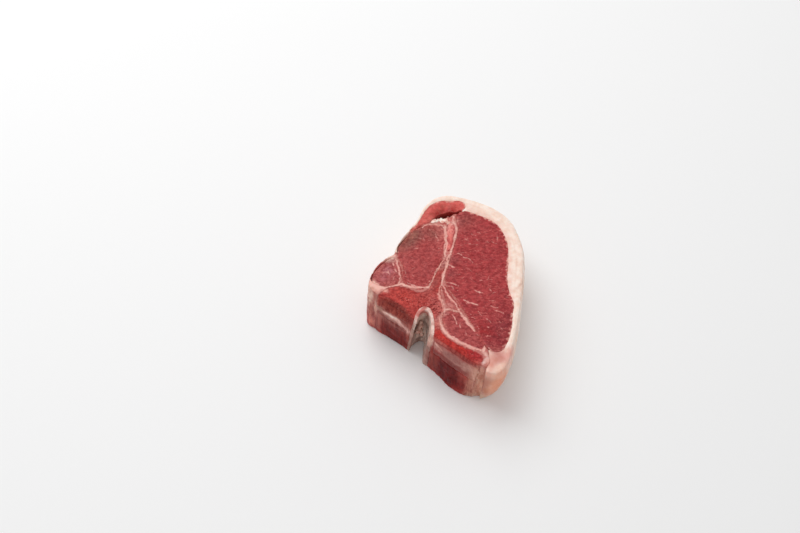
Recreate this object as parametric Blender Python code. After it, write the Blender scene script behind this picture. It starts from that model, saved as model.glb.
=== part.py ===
"""A raw lamb loin chop, lying on its cut face.

A chop is a slice across half a loin, so every muscle, the bone and the fat run
through it from one cut face to the other. The model is made the same way: one
blank with the outer shape of the slice, and a territory for each kind of tissue
that cuts its own piece out of the blank.

Plan coordinates are in millimetres on the upper cut face. X runs along the sawn
backbone from the fillet side to the back-fat side, and Y runs from the sawn face
towards the flank. Plan zero is the middle of the spinal canal's mouth.
"""

import math

import bmesh
import bpy
from mathutils import Vector

MM = 0.001

# Driving dimensions, in millimetres
THICKNESS = 28.0
GAP = 0.3  # left between neighbouring pieces
FACET = 1.7  # length of an outline's facets
RIM = 1.5  # how far the soft outer edge draws in at both cut faces
LEAN_SIDE_RIM = 0.4  # the share of it where muscle lies close behind the edge
RIM_POWER = 6  # a high power keeps the outer side upright and its edges round
LEVELS = (0.0, 0.05, 0.14, 0.3, 0.5, 0.7, 0.86, 0.95, 1.0)  # rings up the outer side
CUTTER_REACH = 6.0  # how far a cutter passes both cut faces

CANAL_CENTRE = (0.9, -0.6)
CANAL_HALF_WIDTH = 3.9
CANAL_DEPTH = 8.3
CANAL_SKEW = -0.48  # the canal leans towards the fillet as it goes in
LINING_WALL = 1.5

DISC_LOW, DISC_HIGH = 15.6, 20.8
LIGAMENT_LOW, LIGAMENT_HIGH = 14.5, 24.6
CORNER_LEAN_HIGH = 20.0

SHARP = "sharp"

# The outer edge. A point marked SHARP is a corner, and the others lie on one smooth line.
BLANK = [
    (-25.4, -0.2, SHARP), (-28.6, 1.0), (-32.0, 2.5), (-34.4, 5.6), (-35.8, 10.4),
    (-36.0, 16.0), (-35.1, 20.8), (-34.0, 22.9), (-35.2, 25.9), (-36.4, 31.5),
    (-36.9, 38.5), (-37.5, 46.0), (-39.2, 53.2), (-38.8, 59.3), (-36.0, 64.2),
    (-28.4, 69.3), (-18.5, 72.6), (-11.0, 73.5), (-1.9, 72.0), (5.9, 67.4),
    (13.0, 61.0), (19.4, 51.9), (27.4, 38.5), (34.4, 24.9), (38.9, 14.8),
    (42.0, 6.8), (42.3, 2.6), (40.6, -1.1), (38.0, -2.6), (35.9, -2.3),
    (34.4, -1.5, SHARP), (5.5, -1.4, SHARP), (-5.2, -0.1, SHARP),
]
EYE = [
    (-24.4, 60.2), (-22.2, 62.8), (-17.7, 64.1), (-11.0, 65.4), (-5.5, 65.2),
    (-0.5, 62.8), (4.8, 58.4), (10.6, 50.4), (15.2, 43.2), (20.2, 37.8),
    (25.2, 33.9), (28.0, 28.9), (31.8, 22.5), (34.4, 15.5), (34.7, 10.2),
    (31.6, 8.0), (28.2, 8.6), (21.6, 12.4), (16.7, 14.5), (10.4, 17.6),
    (4.5, 20.6), (-3.2, 23.9), (-6.9, 26.6), (-8.8, 31.2), (-11.6, 37.6),
    (-15.9, 47.7), (-18.6, 53.1), (-22.6, 57.0),
]
FLANK = [
    (-23.3, 64.6), (-24.8, 66.1), (-31.7, 63.0), (-35.9, 58.9), (-37.0, 54.6),
    (-36.4, 48.6), (-35.5, 43.0), (-35.4, 37.2), (-34.9, 36.6), (-34.4, 39.2),
    (-33.8, 43.4), (-31.4, 48.3), (-29.0, 56.0), (-24.0, 62.4),
]
FILLET = [
    (-24.0, 48.6), (-26.4, 49.0), (-29.6, 47.4), (-32.3, 44.0), (-34.0, 39.5),
    (-34.9, 32.6), (-34.1, 26.5), (-31.3, 23.5), (-26.3, 21.0), (-23.9, 18.6),
    (-22.2, 15.2), (-19.4, 13.5), (-15.4, 14.2), (-12.0, 15.6), (-11.1, 18.6),
    (-12.1, 23.5), (-14.2, 31.8), (-16.4, 38.6), (-20.4, 44.6),
]
SIDE = [
    (-34.5, 8.2), (-34.9, 12.0), (-34.6, 16.5), (-33.5, 20.7), (-31.6, 21.6),
    (-27.8, 19.7), (-24.9, 17.4), (-22.9, 13.4), (-22.9, 10.8), (-25.6, 7.4),
    (-28.8, 5.3), (-32.4, 5.4),
]
STEM_MUSCLE = [
    (-23.9, 52.1), (-22.9, 53.5), (-20.5, 51.8), (-17.4, 46.2), (-14.6, 40.9),
    (-15.0, 39.5), (-18.5, 43.9), (-22.9, 50.0),
]
WEDGE = [
    (-5.4, 23.0), (-1.5, 21.6), (2.5, 19.7), (7.3, 16.8), (5.6, 15.9),
    (3.0, 15.6), (-0.2, 18.0), (-3.4, 20.9),
]
BACK = [
    (3.9, 11.2), (4.6, 13.0), (7.4, 14.7), (10.8, 14.7), (14.9, 13.3),
    (20.0, 12.0), (24.0, 12.8), (27.8, 9.6), (27.2, 5.2), (22.5, 3.7),
    (16.0, 3.2), (9.6, 4.7), (6.0, 7.6),
]
BONE = [
    (-25.4, -8.0, SHARP), (-25.4, 1.4, SHARP), (-24.4, 5.5), (-21.6, 9.5),
    (-18.0, 11.4), (-11.6, 13.2), (-9.4, 15.8), (-9.9, 19.6), (-11.9, 26.8),
    (-13.8, 35.0), (-13.3, 37.4), (-11.7, 34.4), (-9.3, 27.6), (-6.4, 22.4),
    (-2.8, 17.2), (2.3, 12.9), (4.2, 7.6), (7.4, 2.9), (11.0, 1.5),
    (19.4, 1.5), (27.2, 3.0), (30.4, 2.7), (31.8, 0.6, SHARP), (31.8, -8.0, SHARP),
]
DISC = [
    (-25.4, -8.0, SHARP), (-25.4, 1.0, SHARP), (-23.3, 6.2), (-19.8, 8.9),
    (-14.5, 10.2), (-9.6, 9.0), (-7.6, 4.6), (-7.4, 0.0, SHARP), (-7.4, -8.0, SHARP),
]
LIGAMENT = [
    (8.2, -8.0, SHARP), (8.2, 1.6, SHARP), (11.2, 0.9), (19.4, 0.9), (27.0, 2.4),
    (30.0, 2.1), (31.2, 0.2, SHARP), (31.2, -8.0, SHARP),
]
CAVITY = [
    (-24.0, 62.6), (-28.0, 58.9), (-31.1, 55.6), (-31.4, 51.5), (-31.0, 48.4),
    (-29.5, 49.1), (-28.0, 52.2), (-26.2, 54.3), (-25.6, 58.0),
]
CORNER_LEAN = [
    (-26.7, -20.0, SHARP), (-26.7, 2.7, SHARP), (-29.0, 3.9), (-32.4, 4.0), (-34.2, 5.6),
    (-36.4, 7.6, SHARP), (-60.0, 7.6, SHARP), (-60.0, -20.0, SHARP),
]
# The straight-sided territory that holds all the connective tissue between the muscles.
WEB = [
    (-60.0, 24.3), (-33.1, 24.3), (-30.1, 30.2), (-31.2, 39.4), (-34.6, 42.3),
    (-32.0, 47.6), (-29.5, 57.0), (-24.7, 61.4), (-20.0, 59.0), (-5.0, 40.0),
    (5.0, 24.0), (24.0, 18.0), (28.4, 12.0), (28.4, 8.9), (31.2, 6.1),
    (33.6, 3.6), (34.5, 1.4), (34.9, -20.0), (-60.0, -20.0),
]

# The saw ran askew, so the lower face is shifted against the upper one. Each entry is a
# place, the shift at it and how far round it the shift reaches.
LEANS = [
    ((0.0, 1.0), (-5.0, -0.3), 8.0),  # the canal
    ((23.0, -3.0), (-1.4, -3.3), 11.0),  # the tip of the spine
    ((41.0, 1.0), (-3.2, 3.4), 8.5),  # the fat corner
    ((42.0, 9.0), (-2.6, -0.2), 11.0),
    ((28.0, 40.0), (-1.6, -1.0), 16.0),
    ((-33.0, 3.0), (0.2, -2.6), 6.0),  # the corner on the fillet side
]


# Each tissue's base colour and roughness.
TISSUES = {
    "eye_muscle": (0.38, 0.055, 0.053, 0.4),
    "flank_muscle": (0.66, 0.13, 0.11, 0.4),
    "fillet_muscle": (0.40, 0.065, 0.062, 0.4),
    "side_muscle": (0.42, 0.09, 0.09, 0.4),
    "stem_muscle": (0.70, 0.20, 0.18, 0.4),
    "wedge_muscle": (0.42, 0.08, 0.08, 0.4),
    "back_muscle": (0.42, 0.08, 0.08, 0.4),
    "corner_lean": (0.36, 0.12, 0.10, 0.45),
    "t_bone": (0.47, 0.07, 0.06, 0.45),
    "canal_lining": (0.60, 0.42, 0.36, 0.45),
    "disc": (0.55, 0.33, 0.29, 0.4),
    "spine_ligament": (0.42, 0.23, 0.20, 0.4),
    "connective_web": (0.80, 0.48, 0.40, 0.4),
    "fat_cap": (0.95, 0.74, 0.64, 0.45),
}

for old in list(bpy.data.objects):
    bpy.data.objects.remove(old)
chop = bpy.data.collections.new("lamb_chop")
cutters = bpy.data.collections.new("cutters")
bpy.context.scene.collection.children.link(chop)
bpy.context.scene.collection.children.link(cutters)


def smoothstep(low, high, value):
    share = min(1.0, max(0.0, (value - low) / (high - low)))
    return share * share * (3 - 2 * share)


def heading(before, here, after):
    """The direction at a middle point of the circle through three points."""
    arriving = here - before
    leaving = after - here
    return (arriving / arriving.length_squared + leaving / leaving.length_squared).normalized()


def loop(outline):
    """The closed line through an outline's points, as plan points about FACET apart."""
    count = len(outline)
    points = [Vector(p[:2]) for p in outline]
    sharp = [len(p) > 2 for p in outline]
    line = []
    for i in range(count):
        before, start, end, after = (points[(i + k) % count] for k in (-1, 0, 1, 2))
        run = end - start
        leaving = run if sharp[i] else heading(before, start, end) * run.length
        arriving = run if sharp[(i + 1) % count] else heading(start, end, after) * run.length
        steps = max(1, round(run.length / FACET))
        for k in range(steps):
            t = k / steps
            line.append(
                start * (2 * t**3 - 3 * t**2 + 1)
                + leaving * (t**3 - 2 * t**2 + t)
                + end * (3 * t**2 - 2 * t**3)
                + arriving * (t**3 - t**2)
            )
    return line


def canal_outline(extra):
    """The spinal canal in plan, a leaning ellipse, made larger all round by extra."""
    half_width = CANAL_HALF_WIDTH + extra
    depth = CANAL_DEPTH + extra
    facets = round(2 * math.pi * depth / FACET)
    points = []
    for k in range(facets):
        angle = 2 * math.pi * k / facets
        rise = depth * math.sin(angle)
        across = half_width * math.cos(angle) + CANAL_SKEW * rise
        points.append((CANAL_CENTRE[0] + across, CANAL_CENTRE[1] + rise))
    return points


def prism(name, plan_points, low=-CUTTER_REACH, high=THICKNESS + CUTTER_REACH, grow=0.0):
    """An upright solid with this plan, made from a flat curve and used only as a cutter."""
    curve = bpy.data.curves.new(name, "CURVE")
    curve.dimensions = "2D"
    curve.fill_mode = "BOTH"
    curve.extrude = (high - low) / 2 * MM
    spline = curve.splines.new("POLY")
    spline.points.add(len(plan_points) - 1)
    for point, place in zip(spline.points, outset(plan_points, grow)):
        point.co = (place[0] * MM, place[1] * MM, 0.0, 1.0)
    spline.use_cyclic_u = True
    flat = bpy.data.objects.new(name + "_curve", curve)
    flat.location.z = (high + low) / 2 * MM
    cutters.objects.link(flat)
    bpy.context.view_layer.update()
    solid = mesh_of(name, flat)
    cutters.objects.link(solid)
    solid.hide_render = True
    solid.display_type = "WIRE"
    bpy.data.objects.remove(flat)
    return solid


def outset(plan_points, distance):
    """The same closed line moved outwards by distance."""
    points = [Vector(p[:2]) for p in plan_points]
    count = len(points)
    area = sum(points[i - 1].cross(points[i]) for i in range(count))
    turn = 1.0 if area > 0 else -1.0
    moved = []
    for i in range(count):
        run = (points[(i + 1) % count] - points[i - 1]).normalized()
        moved.append(points[i] + Vector((run.y, -run.x)) * turn * distance)
    return moved


def mesh_of(name, source):
    """A new mesh object with the evaluated shape of another object, its caps welded."""
    graph = bpy.context.evaluated_depsgraph_get()
    mesh = bpy.data.meshes.new_from_object(source.evaluated_get(graph))
    work = bmesh.new()
    work.from_mesh(mesh)
    bmesh.ops.remove_doubles(work, verts=work.verts, dist=1e-6)
    bmesh.ops.recalc_face_normals(work, faces=work.faces)
    work.to_mesh(mesh)
    work.free()
    made = bpy.data.objects.new(name, mesh)
    made.matrix_world = source.matrix_world
    return made


def rim_inset(height_share, x, y):
    """How far the outer side is drawn in at this height. The sawn face stays upright."""
    softness = max(smoothstep(0.5, 6.0, y), smoothstep(35.5, 38.0, x))
    softness *= LEAN_SIDE_RIM + (1 - LEAN_SIDE_RIM) * smoothstep(-36.0, -24.0, x)
    return RIM * softness * abs(2 * height_share - 1) ** RIM_POWER


def blank_solid():
    """The outer shape of the whole slice, lofted through its rings."""
    plan = loop(BLANK)
    outward = [b - a for a, b in zip(plan, outset(plan, 1.0))]
    work = bmesh.new()
    rings = []
    for share in LEVELS:
        ring = []
        for place, way in zip(plan, outward):
            spot = place - way * rim_inset(share, *place)
            ring.append(work.verts.new((spot.x * MM, spot.y * MM, share * THICKNESS * MM)))
        rings.append(ring)
    for low, high in zip(rings, rings[1:]):
        for k in range(len(plan)):
            work.faces.new((low[k - 1], low[k], high[k], high[k - 1]))
    work.faces.new(rings[0])
    work.faces.new(rings[-1])
    bmesh.ops.recalc_face_normals(work, faces=work.faces)
    mesh = bpy.data.meshes.new("blank")
    work.to_mesh(mesh)
    work.free()
    made = bpy.data.objects.new("blank", mesh)
    cutters.objects.link(made)
    made.hide_render = True
    made.display_type = "WIRE"
    return made


def inlay(name, outline, low, high):
    """The cutter for a piece that fills only some of the thickness, and that for its slot."""
    plan = loop(outline)
    return (
        prism(name + "_cut", plan, low, high),
        prism(name + "_slot", plan, low - GAP, high + GAP, grow=GAP),
    )


def tissue(name):
    """The material of one piece, from its colour and its roughness."""
    *colour, roughness = TISSUES[name]
    material = bpy.data.materials.new(name)
    material.use_nodes = True
    shader = material.node_tree.nodes["Principled BSDF"]
    shader.inputs["Base Color"].default_value = (*colour, 1.0)
    shader.inputs["Roughness"].default_value = roughness
    shader.inputs["Metallic"].default_value = 0.0
    material.diffuse_color = (*colour, 1.0)
    return material


def cut_piece(name, blank, keep, remove):
    """One piece of the chop: the blank within the keep cutter, less the remove cutters."""
    piece = blank.copy()
    piece.data = blank.data.copy()
    piece.name = name
    piece.hide_render = False
    piece.display_type = "TEXTURED"
    chop.objects.link(piece)
    steps = [("INTERSECT", keep)] if keep else []
    steps += [("DIFFERENCE", solid) for solid in remove]
    for operation, solid in steps:
        cut = piece.modifiers.new(solid.name, "BOOLEAN")
        cut.operation = operation
        cut.solver = "EXACT"
        cut.object = solid
    graph = bpy.context.evaluated_depsgraph_get()
    piece.data = bpy.data.meshes.new_from_object(piece.evaluated_get(graph))
    piece.modifiers.clear()
    piece.data.name = name
    piece.data.materials.clear()
    piece.data.materials.append(tissue(name))
    return piece


def keep_largest(piece):
    """Drops the crumbs that the cutters leave beside the piece itself."""
    work = bmesh.new()
    work.from_mesh(piece.data)
    bmesh.ops.remove_doubles(work, verts=work.verts, dist=2e-6)
    islands = []
    unseen = set(work.verts)
    while unseen:
        stack = [unseen.pop()]
        island = set(stack)
        while stack:
            for edge in stack.pop().link_edges:
                for vert in edge.verts:
                    if vert in unseen:
                        unseen.remove(vert)
                        island.add(vert)
                        stack.append(vert)
        islands.append(island)
    largest = max(islands, key=len)
    crumbs = [vert for vert in work.verts if vert not in largest]
    bmesh.ops.delete(work, geom=crumbs, context="VERTS")
    work.to_mesh(piece.data)
    work.free()


def lean(piece):
    """Shifts the piece's lower part as LEANS say, and its top not at all."""
    for vert in piece.data.vertices:
        share = 1 - vert.co.z / (THICKNESS * MM)
        place = vert.co.xy / MM
        for middle, shift, reach in LEANS:
            distance = (place - Vector(middle)).length / reach
            vert.co.xy += Vector(shift) * math.exp(-distance * distance) * share * MM


def centre(pieces):
    """Moves the whole chop so that its origin is the middle of its underside."""
    corners = [vert.co for piece in pieces for vert in piece.data.vertices]
    low = Vector(min(c[k] for c in corners) for k in range(3))
    high = Vector(max(c[k] for c in corners) for k in range(3))
    middle = Vector(((low.x + high.x) / 2, (low.y + high.y) / 2, low.z))
    for piece in pieces:
        for vert in piece.data.vertices:
            vert.co -= middle
    return middle


def build():
    blank = blank_solid()
    territory = {
        "eye_muscle": loop(EYE),
        "flank_muscle": loop(FLANK),
        "fillet_muscle": loop(FILLET),
        "side_muscle": loop(SIDE),
        "stem_muscle": loop(STEM_MUSCLE),
        "wedge_muscle": loop(WEDGE),
        "back_muscle": loop(BACK),
        "t_bone": loop(BONE),
        "connective_web": loop([(*place, SHARP) for place in WEB]),
    }
    whole = {name: prism(name + "_cut", plan) for name, plan in territory.items()}
    pocket = {name: prism(name + "_pocket", plan, grow=GAP) for name, plan in territory.items()}
    cavity = prism("cavity_cut", loop(CAVITY))
    canal = prism("canal_cut", canal_outline(0.0))
    lining = prism("lining_cut", canal_outline(LINING_WALL))
    lining_pocket = prism("lining_pocket", canal_outline(LINING_WALL + GAP))
    disc, disc_slot = inlay("disc", DISC, DISC_LOW, DISC_HIGH)
    ligament, ligament_slot = inlay("ligament", LIGAMENT, LIGAMENT_LOW, LIGAMENT_HIGH)
    corner, corner_slot = inlay("corner", CORNER_LEAN, -CUTTER_REACH, CORNER_LEAN_HIGH)

    muscles = [name for name in territory if name.endswith("_muscle")]
    takes = {name: [] for name in muscles}
    takes["eye_muscle"] = [cavity]
    takes["flank_muscle"] = [cavity]
    takes["fillet_muscle"] = [pocket["flank_muscle"]]
    takes["wedge_muscle"] = [pocket["eye_muscle"]]
    takes["back_muscle"] = [pocket["eye_muscle"]]
    pieces = [cut_piece(name, blank, whole[name], takes[name]) for name in muscles]
    pieces += [
        cut_piece("t_bone", blank, whole["t_bone"], [lining_pocket, disc_slot, ligament_slot]),
        cut_piece("canal_lining", blank, lining, [canal]),
        cut_piece("disc", blank, disc, [lining_pocket]),
        cut_piece("spine_ligament", blank, ligament, [lining_pocket]),
        cut_piece("corner_lean", blank, corner, [pocket["side_muscle"], pocket["t_bone"]]),
    ]
    beside = [pocket[name] for name in territory if name != "connective_web"]
    web_takes = beside + [cavity, lining_pocket, corner_slot]
    pieces.append(cut_piece("connective_web", blank, whole["connective_web"], web_takes))
    rind = [pocket[name] for name in ("connective_web", "eye_muscle", "flank_muscle")]
    rind += [pocket["fillet_muscle"], cavity]
    pieces.append(cut_piece("fat_cap", blank, None, rind))
    for piece in pieces:
        keep_largest(piece)
        lean(piece)
    middle = centre(pieces)
    for piece in pieces:
        piece.data.shade_smooth()
        piece.data.set_sharp_from_angle(angle=math.radians(40))
    print("plan zero lies at", [round(-v / MM, 3) for v in middle], "mm")


build()
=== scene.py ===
import bmesh
import bpy
import numpy as np
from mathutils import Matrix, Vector


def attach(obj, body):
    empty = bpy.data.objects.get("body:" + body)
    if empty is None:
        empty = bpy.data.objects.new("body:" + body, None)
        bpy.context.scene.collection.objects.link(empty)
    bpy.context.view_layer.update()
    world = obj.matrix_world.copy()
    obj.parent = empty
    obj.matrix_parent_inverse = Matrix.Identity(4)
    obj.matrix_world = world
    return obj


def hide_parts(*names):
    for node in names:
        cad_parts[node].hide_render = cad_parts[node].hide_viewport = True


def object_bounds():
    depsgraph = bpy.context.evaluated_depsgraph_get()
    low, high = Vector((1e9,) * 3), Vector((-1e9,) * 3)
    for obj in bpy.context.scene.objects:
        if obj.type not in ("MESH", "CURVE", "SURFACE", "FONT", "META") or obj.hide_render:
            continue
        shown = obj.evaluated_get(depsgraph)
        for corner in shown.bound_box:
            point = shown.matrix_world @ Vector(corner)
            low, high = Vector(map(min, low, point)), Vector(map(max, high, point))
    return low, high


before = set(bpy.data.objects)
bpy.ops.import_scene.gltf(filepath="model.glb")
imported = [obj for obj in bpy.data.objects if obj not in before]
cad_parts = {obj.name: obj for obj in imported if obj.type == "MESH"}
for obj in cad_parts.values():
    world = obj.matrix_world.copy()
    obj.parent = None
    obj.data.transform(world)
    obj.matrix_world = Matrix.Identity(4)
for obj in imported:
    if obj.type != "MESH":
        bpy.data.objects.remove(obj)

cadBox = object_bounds()
scene = bpy.context.scene
mm = 0.001
thick = (cadBox[1].z - cadBox[0].z) / mm
planZero = np.array((cadBox[0].x, cadBox[0].y)) / mm + (39.28, 4.66)  # the mouth of the spinal canal

# The saw ran askew, so the lower face is shifted against the upper one, in mm.
# Each entry is a place, the shift there and how far round it the shift reaches.
sawLean = [
    ((0.0, 1.0), (-5.0, -0.3), 8.0), ((23.0, -3.0), (-1.4, -3.3), 11.0),
    ((41.0, 1.0), (-3.2, 3.4), 8.5), ((42.0, 9.0), (-2.6, -0.2), 11.0),
    ((28.0, 40.0), (-1.6, -1.0), 16.0), ((-33.0, 3.0), (0.2, -2.6), 6.0),
]


def smooth(low, high, value):
    share = np.clip((value - low) / (high - low), 0, 1)
    return share * share * (3 - 2 * share)


sheenVeil = 0.014  # what the wet sheen adds back over every colour


def hue(red, green, blue):  # a colour as the eye reads it, 0 to 255, made linear
    share = np.array((red, green, blue)) / 255
    linear = np.where(share > 0.04, ((share + 0.055) / 1.055) ** 2.4, share / 12.92)
    return np.maximum(linear - sheenVeil, linear * 0.35)


def planOf(co):  # plan places on the upper face, with the lean taken out, and heights, in mm
    spot = co[:, :2] / mm - planZero
    height = co[:, 2] / mm
    flat = spot.copy()
    for middle, shift, reach in sawLean:
        away = ((spot - middle) ** 2).sum(1) / reach**2
        flat -= (np.exp(-away) * (1 - height / thick))[:, None] * shift
    return flat, height


batchSize = 4000  # places compared with an outline at one time


def nearest(places, targets):  # plan distance from each place to the nearest target, and which it is
    best, which = np.empty(len(places)), np.empty(len(places), int)
    for start in range(0, len(places), batchSize):
        batch = slice(start, start + batchSize)
        apart = ((places[batch, None, :] - targets[None, :, :]) ** 2).sum(2)
        which[batch] = apart.argmin(1)
        best[batch] = np.sqrt(apart.min(1))
    return best, which


def cloud(places, size, seed):  # smooth random values from 0 to 1, whose lumps are about size millimetres
    cell = places / size + 100.0
    corner = np.floor(cell).astype(np.int64)
    part = cell - corner
    part = part * part * (3 - 2 * part)
    total = np.zeros(len(places))
    for ends in np.ndindex(2, 2, 2):  # the corners' numbers are scrambled into values without a pattern
        at = corner + ends
        code = (at[:, 0] * 73856093) ^ (at[:, 1] * 19349663) ^ (at[:, 2] * 83492791) ^ (seed * 2654435761)
        code = ((code ^ (code >> 13)) * 1274126177) & 0xFFFFFFFF
        code = (code ^ (code >> 16)) & 0xFFFF
        total += code / 65535 * np.prod(np.where(ends, part, 1 - part), axis=1)
    return total


def curved(points, step=0.5):  # a smooth line through plan points
    points = [np.array(p, float) for p in points]
    ends = [2 * points[0] - points[1], *points, 2 * points[-1] - points[-2]]
    line = []
    for a, b, c, d in zip(ends, ends[1:], ends[2:], ends[3:]):
        count = max(1, round(np.linalg.norm(c - b) / step))
        bend, twist = 2 * a - 5 * b + 4 * c - d, 3 * b - a - 3 * c + d
        for k in range(count):
            t = k / count
            line.append(0.5 * (2 * b + (c - a) * t + bend * t**2 + twist * t**3))
    return np.array([*line, points[-1]])


def coords(mesh):
    co = np.empty(len(mesh.vertices) * 3)
    mesh.vertices.foreach_get("co", co)
    return co.reshape(-1, 3)


def keepInside(mesh, slack=0.0):  # holds every point within the box of the whole chop, slack in mm
    lowest, highest = (np.array(corner) for corner in cadBox)
    co = np.clip(coords(mesh), lowest + slack * mm, highest - slack * mm)
    mesh.vertices.foreach_set("co", co.ravel())
    mesh.update()


def store(mesh, name, values):
    colour = values.ndim == 2
    layer = mesh.attributes.new(name, "FLOAT_COLOR" if colour else "FLOAT", "POINT")
    if colour:
        values = np.column_stack((values, np.ones(len(values))))
    layer.data.foreach_set("color" if colour else "value", values.astype(np.float32).ravel())


outlineStep = 0.4  # mm between the points of an outline
neighbourGap = 0.9  # mm; a point of an outline with nothing nearer than this is on the outside


# The outline of each piece on the upper cut face, as plan points with their outward ways.
def outlineOf(obj):
    work = bmesh.new()
    work.from_mesh(obj.data)
    bmesh.ops.remove_doubles(work, verts=work.verts, dist=1e-6)
    up = {f for f in work.faces if f.normal.z > 0.9 and min(v.co.z for v in f.verts) > (thick - 0.1) * mm}
    points, ways = [], []
    for edge in work.edges:
        mine = up.intersection(edge.link_faces)
        if len(mine) != 1:
            continue
        a, b = (np.array(v.co.xy) / mm - planZero for v in edge.verts)
        third = next(v for v in mine.pop().verts if v not in edge.verts)
        run = b - a
        way = np.array((run[1], -run[0])) / max(np.linalg.norm(run), 1e-9)
        if way @ (np.array(third.co.xy) / mm - planZero - a) > 0:
            way = -way
        count = max(1, round(np.linalg.norm(run) / outlineStep))
        points += [a + run * k / count for k in range(count)]
        ways += [way] * count
    work.free()
    return np.array(points).reshape(-1, 2), np.array(ways).reshape(-1, 2)


outlines = {name: outlineOf(obj) for name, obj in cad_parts.items()}
outlines = {name: both for name, both in outlines.items() if len(both[0])}
outerRim, outerWay = [], []
for name, (points, ways) in outlines.items():
    others = np.concatenate([both[0] for other, both in outlines.items() if other != name])
    apart, which = nearest(points, others)
    alone = (apart > neighbourGap) | (((others[which] - points) * ways).sum(1) < 0)
    outerRim.append(points[alone])
    outerWay.append(ways[alone])
outerRim, outerWay = np.concatenate(outerRim), np.concatenate(outerWay)
print("outlines read,", len(outerRim), "points on the outside")


# Small helpers for building node trees.

def addNode(tree, kind, links=None, **settings):
    made = tree.nodes.new(kind)
    for key, value in settings.items():
        setattr(made, key, value)
    for key, value in (links or {}).items():
        if isinstance(value, bpy.types.NodeSocket):
            tree.links.new(value, made.inputs[key])
        else:
            made.inputs[key].default_value = value
    return made


def calc(tree, operation, *values):
    made = tree.nodes.new("ShaderNodeMath")
    made.operation = operation
    for socket, value in zip(made.inputs, values):
        if isinstance(value, bpy.types.NodeSocket):
            tree.links.new(value, socket)
        else:
            socket.default_value = value
    return made.outputs[0]


def vector(tree, operation, a, b):
    links = {0: a, "Scale" if operation == "SCALE" else 1: b}
    return addNode(tree, "ShaderNodeVectorMath", links, operation=operation).outputs[0]


def ramp(tree, value, low, high, bottom=0.0, top=1.0):
    links = {"Value": value, "From Min": low, "From Max": high, "To Min": bottom, "To Max": top}
    return addNode(tree, "ShaderNodeMapRange", links, interpolation_type="SMOOTHSTEP").outputs[0]


def newTree(name, kind, inputs, outputs):
    tree = bpy.data.node_groups.new(name, kind)
    for label, socket, value in inputs:
        made = tree.interface.new_socket(label, in_out="INPUT", socket_type="NodeSocket" + socket)
        if value is not None:
            made.default_value = value
    for label, socket in outputs:
        tree.interface.new_socket(label, in_out="OUTPUT", socket_type="NodeSocket" + socket)
    return tree, tree.nodes.new("NodeGroupInput").outputs, tree.nodes.new("NodeGroupOutput").inputs


def closeTree(tree, given, result, geometry):  # the common end of every Geometry Nodes tree here
    smoothed = addNode(tree, "GeometryNodeSetShadeSmooth", {"Geometry": geometry}).outputs[0]
    whole = addNode(tree, "GeometryNodeRealizeInstances", {"Geometry": smoothed}).outputs[0]
    finish = addNode(tree, "GeometryNodeSetMaterial",
                     {"Geometry": whole, "Material": given["Material"]}).outputs[0]
    tree.links.new(finish, result["Geometry"])
    return tree


# The relief of cut flesh, one tree for every piece.

def attributeField(tree, name):
    return addNode(tree, "GeometryNodeInputNamedAttribute", {"Name": name}, data_type="FLOAT").outputs[0]


def noiseField(tree, size, seed, detail=2.0):  # noise whose lumps are about size millimetres
    place = addNode(tree, "GeometryNodeInputPosition").outputs[0]
    links = {"Vector": place, "W": seed, "Scale": calc(tree, "DIVIDE", 1000.0, size), "Detail": detail}
    return addNode(tree, "ShaderNodeTexNoise", links, noise_dimensions="4D").outputs


def uneven(tree, given, size, height):  # noise about nothing, of a given size and height
    level = noiseField(tree, given[size], given["Seed"])[0]
    return calc(tree, "MULTIPLY", calc(tree, "SUBTRACT", level, 0.6), given[height])


def reliefTree():
    tree, given, result = newTree("cut flesh relief", "GeometryNodeTree", [
        ("Geometry", "Geometry", None), ("Wander", "Float", 0.3), ("Rim Drop", "Float", 0.05),
        ("Rim Width", "Float", 1.5), ("Sink", "Float", 0.0), ("Swell", "Float", 0.15),
        ("Swell Size", "Float", 5.0),
        ("Grain", "Float", 0.05), ("Grain Size", "Float", 0.8), ("Thread Rise", "Float", 0.05),
        ("Seed", "Float", 1.0), ("Material", "Material", None)], [("Geometry", "Geometry")])
    cut = attributeField(tree, "cut")
    rim = ramp(tree, attributeField(tree, "edge"), 0.0, given["Rim Width"])
    drop = calc(tree, "MULTIPLY", calc(tree, "SUBTRACT", rim, 1.0), given["Rim Drop"])
    swell = uneven(tree, given, "Swell Size", "Swell")
    rise = calc(tree, "ADD", swell, uneven(tree, given, "Grain Size", "Grain"))
    thread = calc(tree, "MULTIPLY", attributeField(tree, "thread"), given["Thread Rise"])
    height = calc(tree, "ADD", calc(tree, "ADD", drop, rise), thread)
    height = calc(tree, "SUBTRACT", height, given["Sink"])
    lift = calc(tree, "MULTIPLY", calc(tree, "MULTIPLY", height, cut), mm)
    side = calc(tree, "SUBTRACT", 1.0, calc(tree, "ABSOLUTE", cut))
    out = calc(tree, "MULTIPLY", calc(tree, "MULTIPLY", rise, side), mm)
    outward = vector(tree, "SCALE", addNode(tree, "GeometryNodeInputNormal").outputs[0], out)
    up = addNode(tree, "ShaderNodeCombineXYZ", {"Z": lift}).outputs[0]
    wander = vector(tree, "SUBTRACT", noiseField(tree, 3.2, 7.0, 3.0)[1], (0.5, 0.5, 0.5))
    reach = calc(tree, "MULTIPLY", given["Wander"], 2 * mm)
    flat = addNode(tree, "ShaderNodeCombineXYZ", {"X": reach, "Y": reach, "Z": 0.0}).outputs[0]
    offset = vector(tree, "ADD", vector(tree, "ADD", outward, up), vector(tree, "MULTIPLY", wander, flat))
    moved = addNode(tree, "GeometryNodeSetPosition",
                    {"Geometry": given["Geometry"], "Offset": offset}).outputs[0]
    return closeTree(tree, given, result, moved)


relief = reliefTree()


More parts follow.
